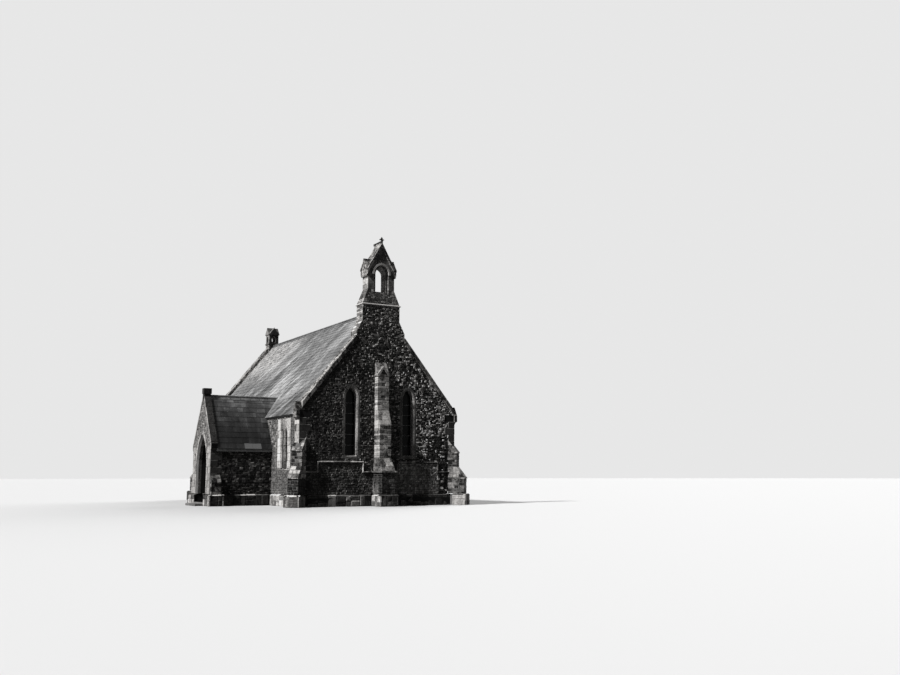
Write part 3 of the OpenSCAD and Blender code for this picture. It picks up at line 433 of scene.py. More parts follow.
def gable_spans(z):
    half = NAVE_HW - quoin_at(z, 0) if z < GABLE_FOOT else (RIDGE - z) / SLOPE
    spans = [(-half, half)]
    for centre in (-LANCET_X, LANCET_X):
        spans = LANCET.cut(spans, z, centre)
    return spans


def west_gable_spans(z):
    if z <= BELL_SEAT:
        return gable_spans(z)
    half = SHAFT_HW
    if z <= SHOULDER:
        half = SHOULDER_HW
    elif z <= SHAFT_FOOT:
        half = SHOULDER_HW + (SHAFT_HW - SHOULDER_HW) * (z - SHOULDER) / (SHAFT_FOOT - SHOULDER)
    return [(-half, half)]


def side_spans(z, south=False):
    """Stretches of a side wall along Y at a height."""
    half = NAVE_HL - quoin_at(z, 1)
    spans = [(-half, half)]
    for i, y in enumerate(WINDOW_YS):
        if SIDE_FOOT <= z <= SIDE_TOP and not (south and i == PORCH_BAY):
            spans = cut_spans(spans, y - SIDE_DRESSED / 2, y + SIDE_DRESSED / 2)
    return INNER_DOOR.cut(spans, z, PORCH_CY) if south else spans


def south_spans(z):
    return [(-b, -a) for a, b in reversed(side_spans(z, True))]


def porch_front_spans(z):
    half = PORCH_HW - quoin_at(z, 1) if z < PORCH_GABLE_FOOT else (PORCH_RIDGE - z) / PORCH_SLOPE
    return PORCH_DOOR.cut([(-half, half)], z)


# Rubble walls

def course_heights(breaks, rng):
    """Splits the stretches between breaks into courses of uneven height."""
    beds = [breaks[0]]
    for a, b in pairs(breaks):
        count = max(1, round((b - a) / rng.uniform(*COURSE)))
        shares = [rng.uniform(0.65, 1.35) for _ in range(count)]
        total = sum(shares)
        for share in shares:
            beds.append(beds[-1] + (b - a) * share / total)
    return beds


def fill_wall(heap, face, spans, breaks, length=(0.05, 0.17), tone=rubble_tone):
    """Fills a wall face with coursed stones; spans(z) gives its stretches at a height."""
    rng = heap.rng
    j = RUBBLE_JOINT / 2
    for low, high in pairs(course_heights(sorted(set(breaks)), rng)):
        lows, highs = spans(low + 0.001), spans(high - 0.001)
        if high - low < 0.02 or len(lows) != len(highs):
            continue
        for (a0, a1), (b0, b1) in zip(lows, highs):
            if max(a1 - a0, b1 - b0) < 0.05:
                continue
            cuts = [(a0, b0)]
            x = max(a0, b0) + rng.uniform(*length)
            while x < min(a1, b1) - length[0] * 0.6:
                lean = rng.uniform(-RUBBLE_WOBBLE, RUBBLE_WOBBLE)
                cuts.append((x - lean, x + lean))
                x += rng.uniform(*length)
            cuts.append((a1, b1))
            for (l0, h0), (l1, h1) in pairs(cuts):
                corners = [(l0 + j, low + j), (l1 - j, low + j), (h1 - j, high - j),
                           (h0 + j, high - j)]
                quad = [face.at(u + rng.uniform(-RUBBLE_WOBBLE, RUBBLE_WOBBLE),
                                v + rng.uniform(-RUBBLE_WOBBLE, RUBBLE_WOBBLE))
                        for u, v in corners]
                if min((quad[i] - quad[i - 1]).length for i in range(4)) < 0.004:
                    continue
                out = rng.uniform(*RUBBLE_RISE)
                rises = [min(RUBBLE_MOST, out * rng.uniform(0.5, 1.4)) for _ in range(4)]
                add_stone(heap, quad, face.n, 0.012, rises, 0.009, tone(rng, (l0 + l1) / 2, low))


def build_rubble(stone, side_stone, porch_stone):
    gable = LEVELS + [LANCET.foot, GABLE_FOOT, LANCET.top]
    west = gable + [BELL_SEAT, SHOULDER, SHAFT_FOOT, BELL_STRING]
    side = [z for z in LEVELS if z < EAVES - 0.05] + [SIDE_FOOT, SIDE_TOP, EAVES]
    walls = (
        ("west", (0, -NAVE_HL, 0), X, west_gable_spans, west, stone,
         {"length": (0.045, 0.14), "tone": west_painted_light_tone}),
        ("east", (0, NAVE_HL, 0), NORTH_TO_SOUTH, gable_spans, gable + [TURRET_SEAT], stone, {}),
        ("south", (-NAVE_HW, 0, 0), EAST_TO_WEST, south_spans, side + [INNER_DOOR.top],
         side_stone, {"tone": south_tone}),
        ("north", (NAVE_HW, 0, 0), Y, side_spans, side, side_stone, {}))
    for name, origin, along, spans, breaks, material, settings in walls:
        heap = Heap(name)
        fill_wall(heap, Face(origin, along), spans, breaks, **settings)
        heap.piece(name + "_rubble", material, "rubble_stone")

    heap = Heap("porch")
    length = PORCH_X - NAVE_HW
    breaks = [z for z in LEVELS if z < PORCH_EAVES - 0.05] + [PORCH_EAVES]
    for sign in BOTH:
        start = -PORCH_X if sign < 0 else -NAVE_HW
        face = Face((start, PORCH_CY + sign * PORCH_HW, 0), (-sign, 0, 0))

        def spans(z):
            quoin = quoin_at(z, 0)
            return [(quoin, length)] if sign < 0 else [(0, length - quoin)]

        fill_wall(heap, face, spans, breaks)
    heap.piece("porch_rubble", porch_stone, "rubble_stone")

    breaks = [z for z in LEVELS if z < PORCH_GABLE_FOOT]
    breaks += [PORCH_GABLE_FOOT, PORCH_DOOR.top, PORCH_RIDGE - 0.02]
    fill_wall(heap, Face((-PORCH_X, PORCH_CY, 0), EAST_TO_WEST), porch_front_spans, breaks,
              tone=around(0.4, 0.24, 0.8))
    heap.piece("porch_front_rubble", side_stone, "rubble_stone")


# Quoins on the corners of the nave and the porch

def add_quoins(heap, cy, half, signs, lowest, head, tone):
    """Stacks quoins on the corner that lies at half sizes from a centre."""
    (hx, hy), (sx, sy) = half, signs
    for i, z in enumerate(LEVELS[:-1]):
        top = min(z + QUOIN_H, head)
        if z < lowest or top - z < QUOIN_LEAST:
            continue
        wx, wy = quoin_lengths(i)
        out = QUOIN_OUT + heap.rng.uniform(0, 0.006)
        corner = (sx * (hx + out), cy + sy * (hy + out), z + QUOIN_JOINT / 2)
        size = (wx + out - QUOIN_JOINT, wy + out - QUOIN_JOINT, top - z - QUOIN_JOINT)
        add_block(heap, corner, [(-sx, 0, 0), (0, -sy, 0), Z], size, 0.012, tone(heap.rng))


def build_quoins(material):
    heap = Heap("quoins")
    for signs in CORNERS:
        add_quoins(heap, 0, (NAVE_HW, NAVE_HL), signs, 2.2, GABLE_FOOT, even(0.1, 1.3))
    heap.piece("quoins", material, "dressed_stone")
    for sy in BOTH:
        add_quoins(heap, PORCH_CY, (PORCH_X, PORCH_HW), (-1, sy), 0, PORCH_GABLE_FOOT, dressed_tone)
    heap.piece("porch_quoins", material, "dressed_stone")


# Stones cut out of the model's own solids

def loose_parts(bm):
    """Splits a mesh into its separate islands, in the order of their first vertices."""
    left = set(bm.verts)
    islands = []
    for start in bm.verts[:]:
        if start not in left:
            continue
        left.remove(start)
        island = {start}
        queue = [start]
        while queue:
            for edge in queue.pop().link_edges:
                for vert in edge.verts:
                    if vert in left:
                        left.remove(vert)
                        island.add(vert)
                        queue.append(vert)
        islands.append(island)
    if len(islands) == 1:
        return [bm]
    parts = []
    for island in islands:
        part = bmesh.new()
        copies = {v: part.verts.new(v.co) for v in bm.verts if v in island}
        for f in bm.faces:
            if f.verts[0] in island:
                part.faces.new([copies[v] for v in f.verts])
        part.normal_update()
        parts.append(part)
    bm.free()
    return parts


def solids(name):
    """Copies of the solids of a node, with its flat faces made whole."""
    bm = bmesh.new()
    bm.from_mesh(nodes[name].data)
    bmesh.ops.transform(bm, matrix=nodes[name].matrix_world, verts=bm.verts)
    bmesh.ops.remove_doubles(bm, verts=bm.verts, dist=2e-5)
    bmesh.ops.dissolve_limit(bm, angle_limit=math.radians(0.6), verts=bm.verts, edges=bm.edges)
    bmesh.ops.recalc_face_normals(bm, faces=bm.faces)
    return loose_parts(bm)


def centre_of(bm):
    return sum((v.co for v in bm.verts), Vector()) / len(bm.verts)


def reach_of(bm, axis, origin=Vector()):
    """Least and greatest place of a mesh along an axis."""
    reach = [(v.co - origin).dot(axis) for v in bm.verts]
    return min(reach), max(reach)


def sort_out(parts, test):
    """Splits parts into those whose centre passes a test, and the others."""
    chosen = [part for part in parts if test(centre_of(part))]
    return chosen, [part for part in parts if part not in chosen]


def cut(bm, point, normal):
    """Keeps what lies on the side that the normal points to, and closes the cut."""
    geom = bm.verts[:] + bm.edges[:] + bm.faces[:]
    bmesh.ops.bisect_plane(bm, geom=geom, dist=1e-6, plane_co=point, plane_no=normal,
                           clear_inner=True)
    rim = [e for e in bm.edges if e.is_boundary]
    if rim:
        bmesh.ops.holes_fill(bm, edges=rim, sides=0)


def band_cut(parts, normal, offsets, joint=0.006, origin=Vector()):
    """Cuts meshes at distances along a normal, leaving a joint at each."""
    normal = Vector(normal).normalized()
    out = []
    for bm in parts:
        lo, hi = reach_of(bm, normal, origin)
        marks = [o for o in sorted(offsets) if lo + 0.025 < o < hi - 0.025]
        if not marks:
            out.append(bm)
            continue
        for a, b in pairs([None] + marks + [None]):
            part = bm.copy()
            if a is not None:
                cut(part, origin + normal * (a + joint / 2), normal)
            if b is not None:
                cut(part, origin + normal * (b - joint / 2), -normal)
            if part.faces:
                out += loose_parts(part)
            else:
                part.free()
        bm.free()
    return out


def arch_cut(half, sign, pivot, degrees, joint):
    """Cuts one half of an arch along lines that spread from a pivot."""
    stones = [half]
    for angle in [math.radians(d) for d in degrees]:
        normal = (-sign * math.sin(angle), 0, math.cos(angle))
        stones = band_cut(stones, normal, [0.0], joint, pivot)
    return stones


def add_core(heap, name, depth):
    """Adds the bed of mortar behind the stones of a node, its solids shrunk by a depth."""
    for bm in solids(name):
        bm.normal_update()
        moves = [v.normal * (v.calc_shell_factor() * depth) for v in bm.verts]
        for v, move in zip(bm.verts, moves):
            v.co -= move
        heap.add_mesh(bm, 0.0)


def build_dressed(dressed, coping, east_coping, porch_coping, strings):
    """Copings, strings and the stones round the windows, cut from their solids."""
    heap = Heap("dressed")

    def coping_piece(node, material, axis_at, least, most, bevel, worn):
        for bm in solids(node):
            axis = Vector(axis_at(centre_of(bm)))
            marks = heap.steps(*reach_of(bm, axis), least, most)
            heap.finish(band_cut([bm], axis, marks, 0.007), bevel, worn)
        heap.piece(node + "_stones", material, "dressed_stone", node)

    def down_gable(centre):
        return (1 if centre.x > 0 else -1) * math.cos(PITCH), 0, -math.sin(PITCH)

    def down_porch(centre):
        sign = 1 if centre.y > PORCH_CY else -1
        return 0, sign * math.cos(PORCH_PITCH), -math.sin(PORCH_PITCH)

    coping_piece("west_coping", coping, down_gable, 0.62, 0.95, 0.012, 0.008)
    coping_piece("east_coping", east_coping, down_gable, 0.62, 0.95, 0.012, 0.008)

    heap.finish(solids("kneelers"), 0.01, 0.0, even(0.0, 0.3))
    heap.piece("kneeler_stones", coping, "dressed_stone", "kneelers")

    # Painted shade: the west string is black towards the north buttress
    for name in ("west_string", "east_string"):
        marks = heap.steps(-NAVE_HW, NAVE_HW, 0.55, 0.85)
        parts = band_cut(solids(name), X, marks, 0.005)
        far, near = sort_out(parts, lambda c: name == "west_string" and c.x > 2.9)
        heap.finish(far, 0.006, 0.003, flat(-0.3))
        heap.finish(near, 0.006, 0.003,
                    lambda g: 0.8 if g.random() < 0.25 else g.uniform(0.0, 0.15))
    heap.piece("string_stones", strings, "dressed_stone", "west_string", "east_string")

    # Surrounds of the gable lancets: sill, jamb stones and curved head stones
    for bm in solids("lancet_surrounds"):
        centre = math.copysign(LANCET_X, centre_of(bm).x)
        beds = [LANCET_SILL, LANCET_SPRING]
        beds += heap.steps(LANCET_SILL, LANCET_SPRING - 0.15, 0.24, 0.46)
        heads, jambs = sort_out(band_cut([bm], Z, beds, 0.005), lambda c: c.z > LANCET_SPRING)
        heap.finish(jambs, 0.006, 0.004)
        for head in heads:
            for half in band_cut([head], X, [centre], 0.005):
                sign = 1 if centre_of(half).x > centre else -1
                pivot = Vector((centre - sign * LANCET.shift, 0, LANCET_SPRING))
                stones = arch_cut(half, sign, pivot, (20, 40), 0.005)
                heap.finish(stones, 0.006, 0.004)
    heap.piece("lancet_stones", dressed, "dressed_stone", "lancet_surrounds")

    # Stones round the side windows: a grey mullion, paler jambs, and head and sill between
    for bm in solids("side_window_surrounds"):
        middle = centre_of(bm).y
        beds = [SIDE_SILL] + heap.steps(SIDE_SILL, SIDE_TOP - 0.1, 0.24, 0.36)
        for i, course in enumerate(band_cut([bm], Z, beds)):
            side = centre_of(course).y - middle
            lo, hi = reach_of(course, Vector(Y))
            stones, tone = [course], even(-0.1, 0.25)
            if abs(side) > 0.2:
                joint_at = 0.5 + 0.13 * (i % 2) + heap.rng.uniform(-0.02, 0.02)
                stones = band_cut([course], Y, [middle + math.copysign(joint_at, side)])
                tone = even(0.5, 1.4)
            elif hi - lo >= 0.4:
                stones, tone = heap.stagger([course], Y, 0.38, 0.6), even(0.1, 1.1)
            heap.finish(stones, 0.008, 0.005, tone)
    heap.piece("side_window_stones", dressed, "dressed_stone", "side_window_surrounds")

    coping_piece("porch_coping", porch_coping, down_porch, 0.42, 0.62, 0.01, 0.006)


def build_piers(stone, shaft_stone, belfry_stone, mortar_core):
    """Buttresses and the bellcote's masonry, cut from their solids."""
    heap, core = Heap("piers"), Heap("core")

    def put(name, material, node, depth=0.012):
        heap.piece(name, material, "rubble_stone", node)
        add_core(core, node, depth)

    parts = band_cut(solids("central_buttress"), Z, heap.laid(PIER_BEDS), 0.007)
    parts = heap.stagger(parts, X, 0.12, 0.26, 0.007)
    low, high = sort_out(parts, lambda c: c.z < PIER_LEDGE[0])
    heads, high = sort_out(high, lambda c: c.z > PIER_HEAD)
    # Painted shade: a black slab behind the sunk face under the gablet
    for sign in BOTH:
        heads = band_cut(heads, Y, [sign * SUNK_FACE, sign * (SUNK_FACE - 0.02)], 0.001)
    shade_slabs, heads = sort_out(heads, lambda c: SUNK_FACE - 0.019 < abs(c.y) < SUNK_FACE)
    ledge, high = sort_out(high + heads, lambda c: c.z < PIER_LEDGE[1])
    heap.finish(low, 0.008, 0.012, even(0.0, 0.12))
    heap.finish(shade_slabs, 0.0, 0.0, flat(0.0))
    heap.finish(ledge, 0.008, 0.012, even(0.15, 0.7))
    heap.finish(high, 0.008, 0.012, around(0.66, 0.24))
    put("central_buttress_stones", stone, "central_buttress")

    for bm in solids("corner_buttresses"):
        where = centre_of(bm)
        diagonal = Vector((math.copysign(1, where.x), math.copysign(1, where.y), 0))
        across = Vector((-diagonal.y, diagonal.x, 0))
        parts = band_cut([bm], Z, heap.laid(CORNER_BEDS), 0.007)
        parts = heap.stagger(parts, across, 0.12, 0.26, 0.007)
        parts = heap.stagger(parts, diagonal, 0.16, 0.34, 0.007)
        low, rest = sort_out(parts, lambda c: c.z < CORNER_LEDGE[0])
        middle, slopes = sort_out(rest, lambda c: CORNER_LEDGE[1] < c.z < CORNER_LEDGE[2])
        foot = even(-0.3, -0.05) if where.x < 0 else even(0.0, 0.5)
        for group, tone in ((low, foot), (middle, even(-0.1, 0.5)), (slopes, even(0.0, 1.0))):
            heap.finish(group, 0.008, 0.012, tone)
    put("corner_buttress_stones", stone, "corner_buttresses")

    for bm in solids("porch_buttresses"):
        parts = band_cut([bm], Z, heap.laid(PORCH_BEDS), 0.007)
        parts = heap.stagger(parts, X, 0.12, 0.22, 0.007)
        heap.finish(parts, 0.008, 0.01, even(0.0, 0.45))
    put("porch_buttress_stones", stone, "porch_buttresses")

    parts = band_cut(solids("bellcote_shaft"), Z, heap.laid(SHAFT_BEDS), 0.009)
    parts = band_cut(parts, Y, [-NAVE_HL + SHAFT_D / 2], 0.01)
    parts = heap.stagger(parts, X, 0.08, 0.22, 0.009)
    heap.finish(parts, 0.008, 0.014, lambda g: rubble_tone(g) + 0.17)
    put("bellcote_shaft_stones", shaft_stone, "bellcote_shaft", 0.014)

    parts = band_cut(solids("belfry"), Z, heap.laid(BELFRY_BEDS))
    low, high = sort_out(parts, lambda c: c.z < SPLAY_TOP)
    low = heap.stagger(low, X, 0.1, 0.2)
    heap.finish(low, 0.006, 0.01, lambda g: g.uniform(0.0, 1.0) ** 1.2)
    heap.finish(high, 0.006, 0.006, around(0.64, 0.22))
    put("belfry_stones", belfry_stone, "belfry")
    core.piece("pier_mortar", mortar_core, "rubble_stone")


def build_bellcote_trim(dressed, trim, dark, turret):
    heap = Heap("bellcote")
    parts = band_cut(solids("bellcote_string"), X, [-0.42, 0.05, 0.5], 0.005)
    heap.finish(parts, 0.006, 0.003)
    heap.piece("bellcote_string_stones", trim, "dressed_stone", "bellcote_string")

    for bm in solids("hood_moulds"):
        for half in band_cut([bm], X, [0.0], 0.004):
            sign = 1 if centre_of(half).x > 0 else -1
            pivot = Vector((-sign * (BELL_SHARP - 0.5) * BELL_W, 0, BELL_SPRING))
            stones = arch_cut(half, sign, pivot, (18, 34, 50), 0.004)
            # Painted highlight: the south half of each hood mould is pale and the north half grey
            heap.finish(stones, 0.022, 0.002, flat(1.0 if sign < 0 else 0.3))
    heap.piece("hood_mould_stones", trim, "dressed_stone", "hood_moulds")

    crest_foot = BELL_FEET + BELL_ROOF_RISE
    beds = [BELL_FEET + 0.02 + 0.24 * i for i in range(5)] + [crest_foot + 0.014]
    crest, parts = sort_out(band_cut(solids("bellcote_roof"), Z, beds, 0.005),
                            lambda c: c.z > crest_foot)
    parts = heap.stagger(parts, Y, 0.3, 0.45, 0.005)
    heap.finish(parts, 0.006, 0.006)
    heap.piece("bellcote_roof_stones", dressed, "dressed_stone", "bellcote_roof")
    heap.finish(crest, 0.004, 0.0)
    heap.piece("bellcote_crest", dark, "dressed_stone")

    parts = band_cut(solids("turret_shaft"), Z, heap.steps(TURRET_SEAT, TURRET_TOP, 0.14, 0.2))
    heap.finish(heap.stagger(parts, X, 0.22, 0.34), 0.008, 0.006)
    heap.piece("turret_shaft_stones", turret, "rubble_stone", "turret_shaft")

    parts = band_cut(solids("turret_head"), Z, [TURRET_TOP + 0.07, TURRET_TOP + 0.3], 0.005)
    heap.finish(parts, 0.006, 0.003)
    heap.finish(solids("turret_roof"), 0.006, 0.0)
    heap.piece("turret_head_stones", turret, "dressed_stone", "turret_head", "turret_roof")


# Slates and ridge tiles

def add_slates(name, material, face, length, spans, gauge, width, mended=None):
    """Covers a slope with slates in rows that get shorter towards the ridge."""
    heap = Heap(name.replace("_", " "))
    rng = heap.rng
    v = 0.0
    row = 0
    gap = 0.003
    while v < length - 0.03:
        top = min(v + gauge[0] + (gauge[1] - gauge[0]) * (v / length), length)
        for (a0, a1), (b0, b1) in zip(spans(v), spans(top)):
            cuts = [(a0, b0)]
            u = max(a0, b0) + rng.uniform(*width) * (0.5 if row % 2 else 1.0)
            while u < min(a1, b1) - width[0] * 0.5:
                cuts.append((u, u))
                u += rng.uniform(*width)
            cuts.append((a1, b1))
            for (l0, h0), (l1, h1) in pairs(cuts):
                tail = v + rng.uniform(-0.006, 0.004)
                lift = rng.uniform(0.015, 0.022)
                other = lift + rng.uniform(-0.004, 0.004)
                corners = [(l0 + gap, tail), (l1 - gap, tail), (h1 - gap, top + 0.004),
                           (h0 + gap, top + 0.004)]
                tone = min(1.0, max(0.0, rng.gauss(0.5, 0.17)))
                if mended and row == 0 and mended[0] < (l0 + l1) / 2 < mended[1]:
                    tone = MENDED
                add_prism(heap, face.points(corners, -0.004),
                          face.points(corners, lift, other, 0.006, 0.006), tone)
        v = top
        row += 1
    heap.piece(name, material, "roof_slate")


def build_slates(nave, porch):
    length = EAVE_X / math.cos(PITCH) - 0.12
    eave_z = RIDGE - SLOPE * EAVE_X
    coping = NAVE_HL - PARAPET - COPING_OUT
    for name, side in (("south", -1), ("north", 1)):
        face = Face((side * EAVE_X, 0, eave_z), (0, side, 0),
                    (-side * math.cos(PITCH), 0, math.sin(PITCH)))

        def nave_spans(v):
            x = EAVE_X - v * math.cos(PITCH)
            west = NAVE_HL - SHAFT_D if x < SHOULDER_HW + 0.02 else coping
            east = NAVE_HL - 2 * TURRET_HW if x < TURRET_HW + 0.02 else coping
            return [(-west, east)] if side > 0 else [(-east, west)]

        add_slates(name + "_slates", nave, face, length, nave_spans, (0.27, 0.19), (0.2, 0.36))

    length = PORCH_EAVE_Y / math.cos(PORCH_PITCH) - 0.1
    porch_eave_z = PORCH_RIDGE - PORCH_SLOPE * PORCH_EAVE_Y
    for name, side in (("west", -1), ("east", 1)):
        face = Face((0, PORCH_CY + side * PORCH_EAVE_Y, porch_eave_z), (-side, 0, 0),
                    (0, -side * math.cos(PORCH_PITCH), math.sin(PORCH_PITCH)))

        def porch_spans(v):
            z = porch_eave_z + v * math.sin(PORCH_PITCH)
            end = NAVE_HW if z < eave_z - 0.1 else (RIDGE - z) / SLOPE
            return [(-PORCH_SLATE_END, -end)] if side < 0 else [(end, PORCH_SLATE_END)]

        add_slates(name + "_porch_slates", porch, face, length, porch_spans, (0.29, 0.25),
                   (0.24, 0.4), MENDED_X if side < 0 else None)


def build_ridge(tile):
    heap = Heap("ridge")
    for bm in solids("ridge_tiles"):
        axis = Vector(Y if centre_of(bm).z > 6 else X)
        lo, hi = reach_of(bm, axis)
        count = round((hi - lo) / 0.45)
        marks = [lo + (hi - lo) * i / count for i in range(1, count)]
        heap.finish(band_cut([bm], axis, marks, 0.012), 0.004, 0.008)
    heap.piece("ridge_tile_run", tile, "ridge_tile", "ridge_tiles")


# Footings of large rough stones

def build_footing(stone, mortar_core):
    heap, core = Heap("footing"), Heap("core")
    rng = heap.rng
    for name in ("nave_footing", "porch_footing"):
        add_core(core, name, 0.035)
    core.piece("footing_mortar", mortar_core, "rubble_stone", "nave_footing", "porch_footing")
    out = 0.12
    top = FOOTING - 0.06
    sunk = -0.034
    inner = -0.13
    g = 0.009

    def run(start, end, dim=1.0):
        """Large stones from start to end, with the outside on the right hand side."""
        a, b = Vector((*start, 0)), Vector((*end, 0))
        face = Face(a, (b - a).normalized())
        length = (b - a).length
        x = 0.0
        while x < length - 0.02:
            step = rng.uniform(0.2, 0.5)
            if length - x - step < 0.2:
                step = length - x
            split = rng.uniform(0.35, 0.65) if rng.random() < 0.75 else 1.0
            beds = [0.0, top * split, top] if split < 1 else [0.0, top]
            for lo, hi in pairs(beds):
                quad = face.points(rect(x + g, x + step - g, lo + g, hi - g * 0.3), sunk)
                rise = rng.uniform(0.006, 0.033)
                rises = [rise * rng.uniform(0.2, 1.0) for _ in range(4)]
                add_stone(heap, quad, face.n, 0.03, rises, 0.03, (rubble_tone(rng) + 0.1) * dim)
            # The sloping top of the course, pale here and there
            lift = rng.uniform(-0.02, 0.0)
            low = face.points(rect(x + 0.006, x + step - 0.006, top, top),
                              -0.02, -0.02, inner, inner)
            high = face.points(rect(x + 0.012, x + step - 0.012, top + 0.012, FOOTING + lift),
                               -0.026, -0.026, inner, inner)
            add_prism(heap, low, high, rng.uniform(0.7, 1.0) if rng.random() < 0.35 else 0.1)
            x += step

    def follow(points, shade_dims=None):
        for i, (a, b) in enumerate(pairs(points)):
            run(a, b, shade_dims[i] if shade_dims else 1.0)

    # Half sizes of the footings of the nave, the central buttress and the corner buttresses
    hw, hl = NAVE_HW + out, NAVE_HL + out
    base = 0.315 + out
    pier = NAVE_HL + 0.9 + out
    w = 0.24 + out
    reach = 0.525 + out
    k = math.sqrt(0.5)
    # Distance along a wall from the corner where a corner footing leaves it
    leave = w / k - out
    edge, side = NAVE_HW - leave, NAVE_HL - leave
    follow([(-edge, -hl), (-base, -hl), (-base, -pier), (base, -pier), (base, -hl), (edge, -hl)])
    run((edge, hl), (-edge, hl))
    run((hw, -side), (hw, side))
    run((-hw, side), (-hw, PORCH_CY + PORCH_HW + out))
    run((-hw, PORCH_CY - PORCH_HW - out), (-hw, -side))
    for sx, sy in CORNERS:
        ring = [(sx * NAVE_HW + sx * k * (t - s), sy * NAVE_HL + sy * k * (t + s))
                for t, s in ((0.0, -w), (reach, -w), (reach, w), (0.0, w))]
        follow(ring if sx * sy > 0 else ring[::-1])
    px, py = PORCH_X + out, PORCH_HW + out
    bx, by = PORCH_X - 0.43 - out, PORCH_HW + 0.26 + out
    # Painted shade: the faces that look west or east are darkened
    shade_dims = (0.25, 1.0, 0.25, 1.0)
    for sy in BOTH:
        ring = [(x, PORCH_CY + sy * y)
                for x, y in ((-hw, py), (-bx, py), (-bx, by), (-px, by), (-px, DOOR_W / 2))]
        follow(ring if sy > 0 else ring[::-1], shade_dims if sy > 0 else shade_dims[::-1])
    heap.piece("footing_stones", stone, "rubble_stone")


# Glazing bars and leads

def add_leads(heap, face, light):
    """Diamond leads and iron saddle bars over one light, on the glass."""
    width, sill, top = light.width, light.foot, light.top
    pitch_u, pitch_v = 0.115, 0.16
    length = math.hypot(pitch_u, pitch_v)
    du, dv = pitch_u / length, pitch_v / length
    rise = width * dv / du
    samples = 80
    for sign in BOTH:
        for i in range(-2, int((top - sill + rise) / pitch_v) + 2):
            start = sill - rise / 2 + i * pitch_v
            inside = []
            for j in range(samples + 1):
                u = -width / 2 + width * j / samples
                v = start + (u * sign + width / 2) * dv / du
                if sill < v < top and abs(u) < light.half(v):
                    inside.append((u, v))
            if len(inside) > 2:
                a, b = face.at(*inside[0], 0.004), face.at(*inside[-1], 0.004)
                across = (b - a).normalized().cross(face.n)
                add_bar(heap, a, b, across, face.n, 0.009, 0.008, 0.3)
    v = sill + 0.42
    while v < light.spring:
        add_rod(heap, face.at(-width / 2, v, 0.022), face.at(width / 2, v, 0.022), 0.008, 0.1, 6)
        v += 0.45


def build_leads(material):
    heap = Heap("leads")
    lancet = Opening(LANCET_W, LANCET_SILL, LANCET_SPRING, LANCET_SHARP)
    light = Opening(LIGHT_W, SIDE_SILL, SIDE_SPRING, LIGHT_SHARP)
    for sy, sx in CORNERS:
        add_leads(heap, Face((sx * LANCET_X, sy * (NAVE_HL - GLASS_IN), 0), (-sy, 0, 0)), lancet)
    for sx in BOTH:
        for i, y in enumerate(WINDOW_YS):
            if sx < 0 and i == PORCH_BAY:
                continue
            for side in BOTH:
                centre = y + side * (LIGHT_W + MULLION) / 2
                add_leads(heap, Face((sx * (NAVE_HW - GLASS_IN), centre, 0), (0, sx, 0)), light)
    heap.piece("window_leads", material, "window_glass")


# Doorways, door and floors

def arch_angles(width, inset=0.0):
    """Angles of the joints of one half of a pointed arch, from its spring to its point."""
    half = math.acos((width - width / 2) / (width + inset))
    return [half * i / ARCH_STONES for i in range(ARCH_STONES + 1)]


def arch_point(width, spring, sign, radius, angle):
    return sign * (radius * math.cos(angle) - (width - width / 2)), spring + radius * math.sin(angle)


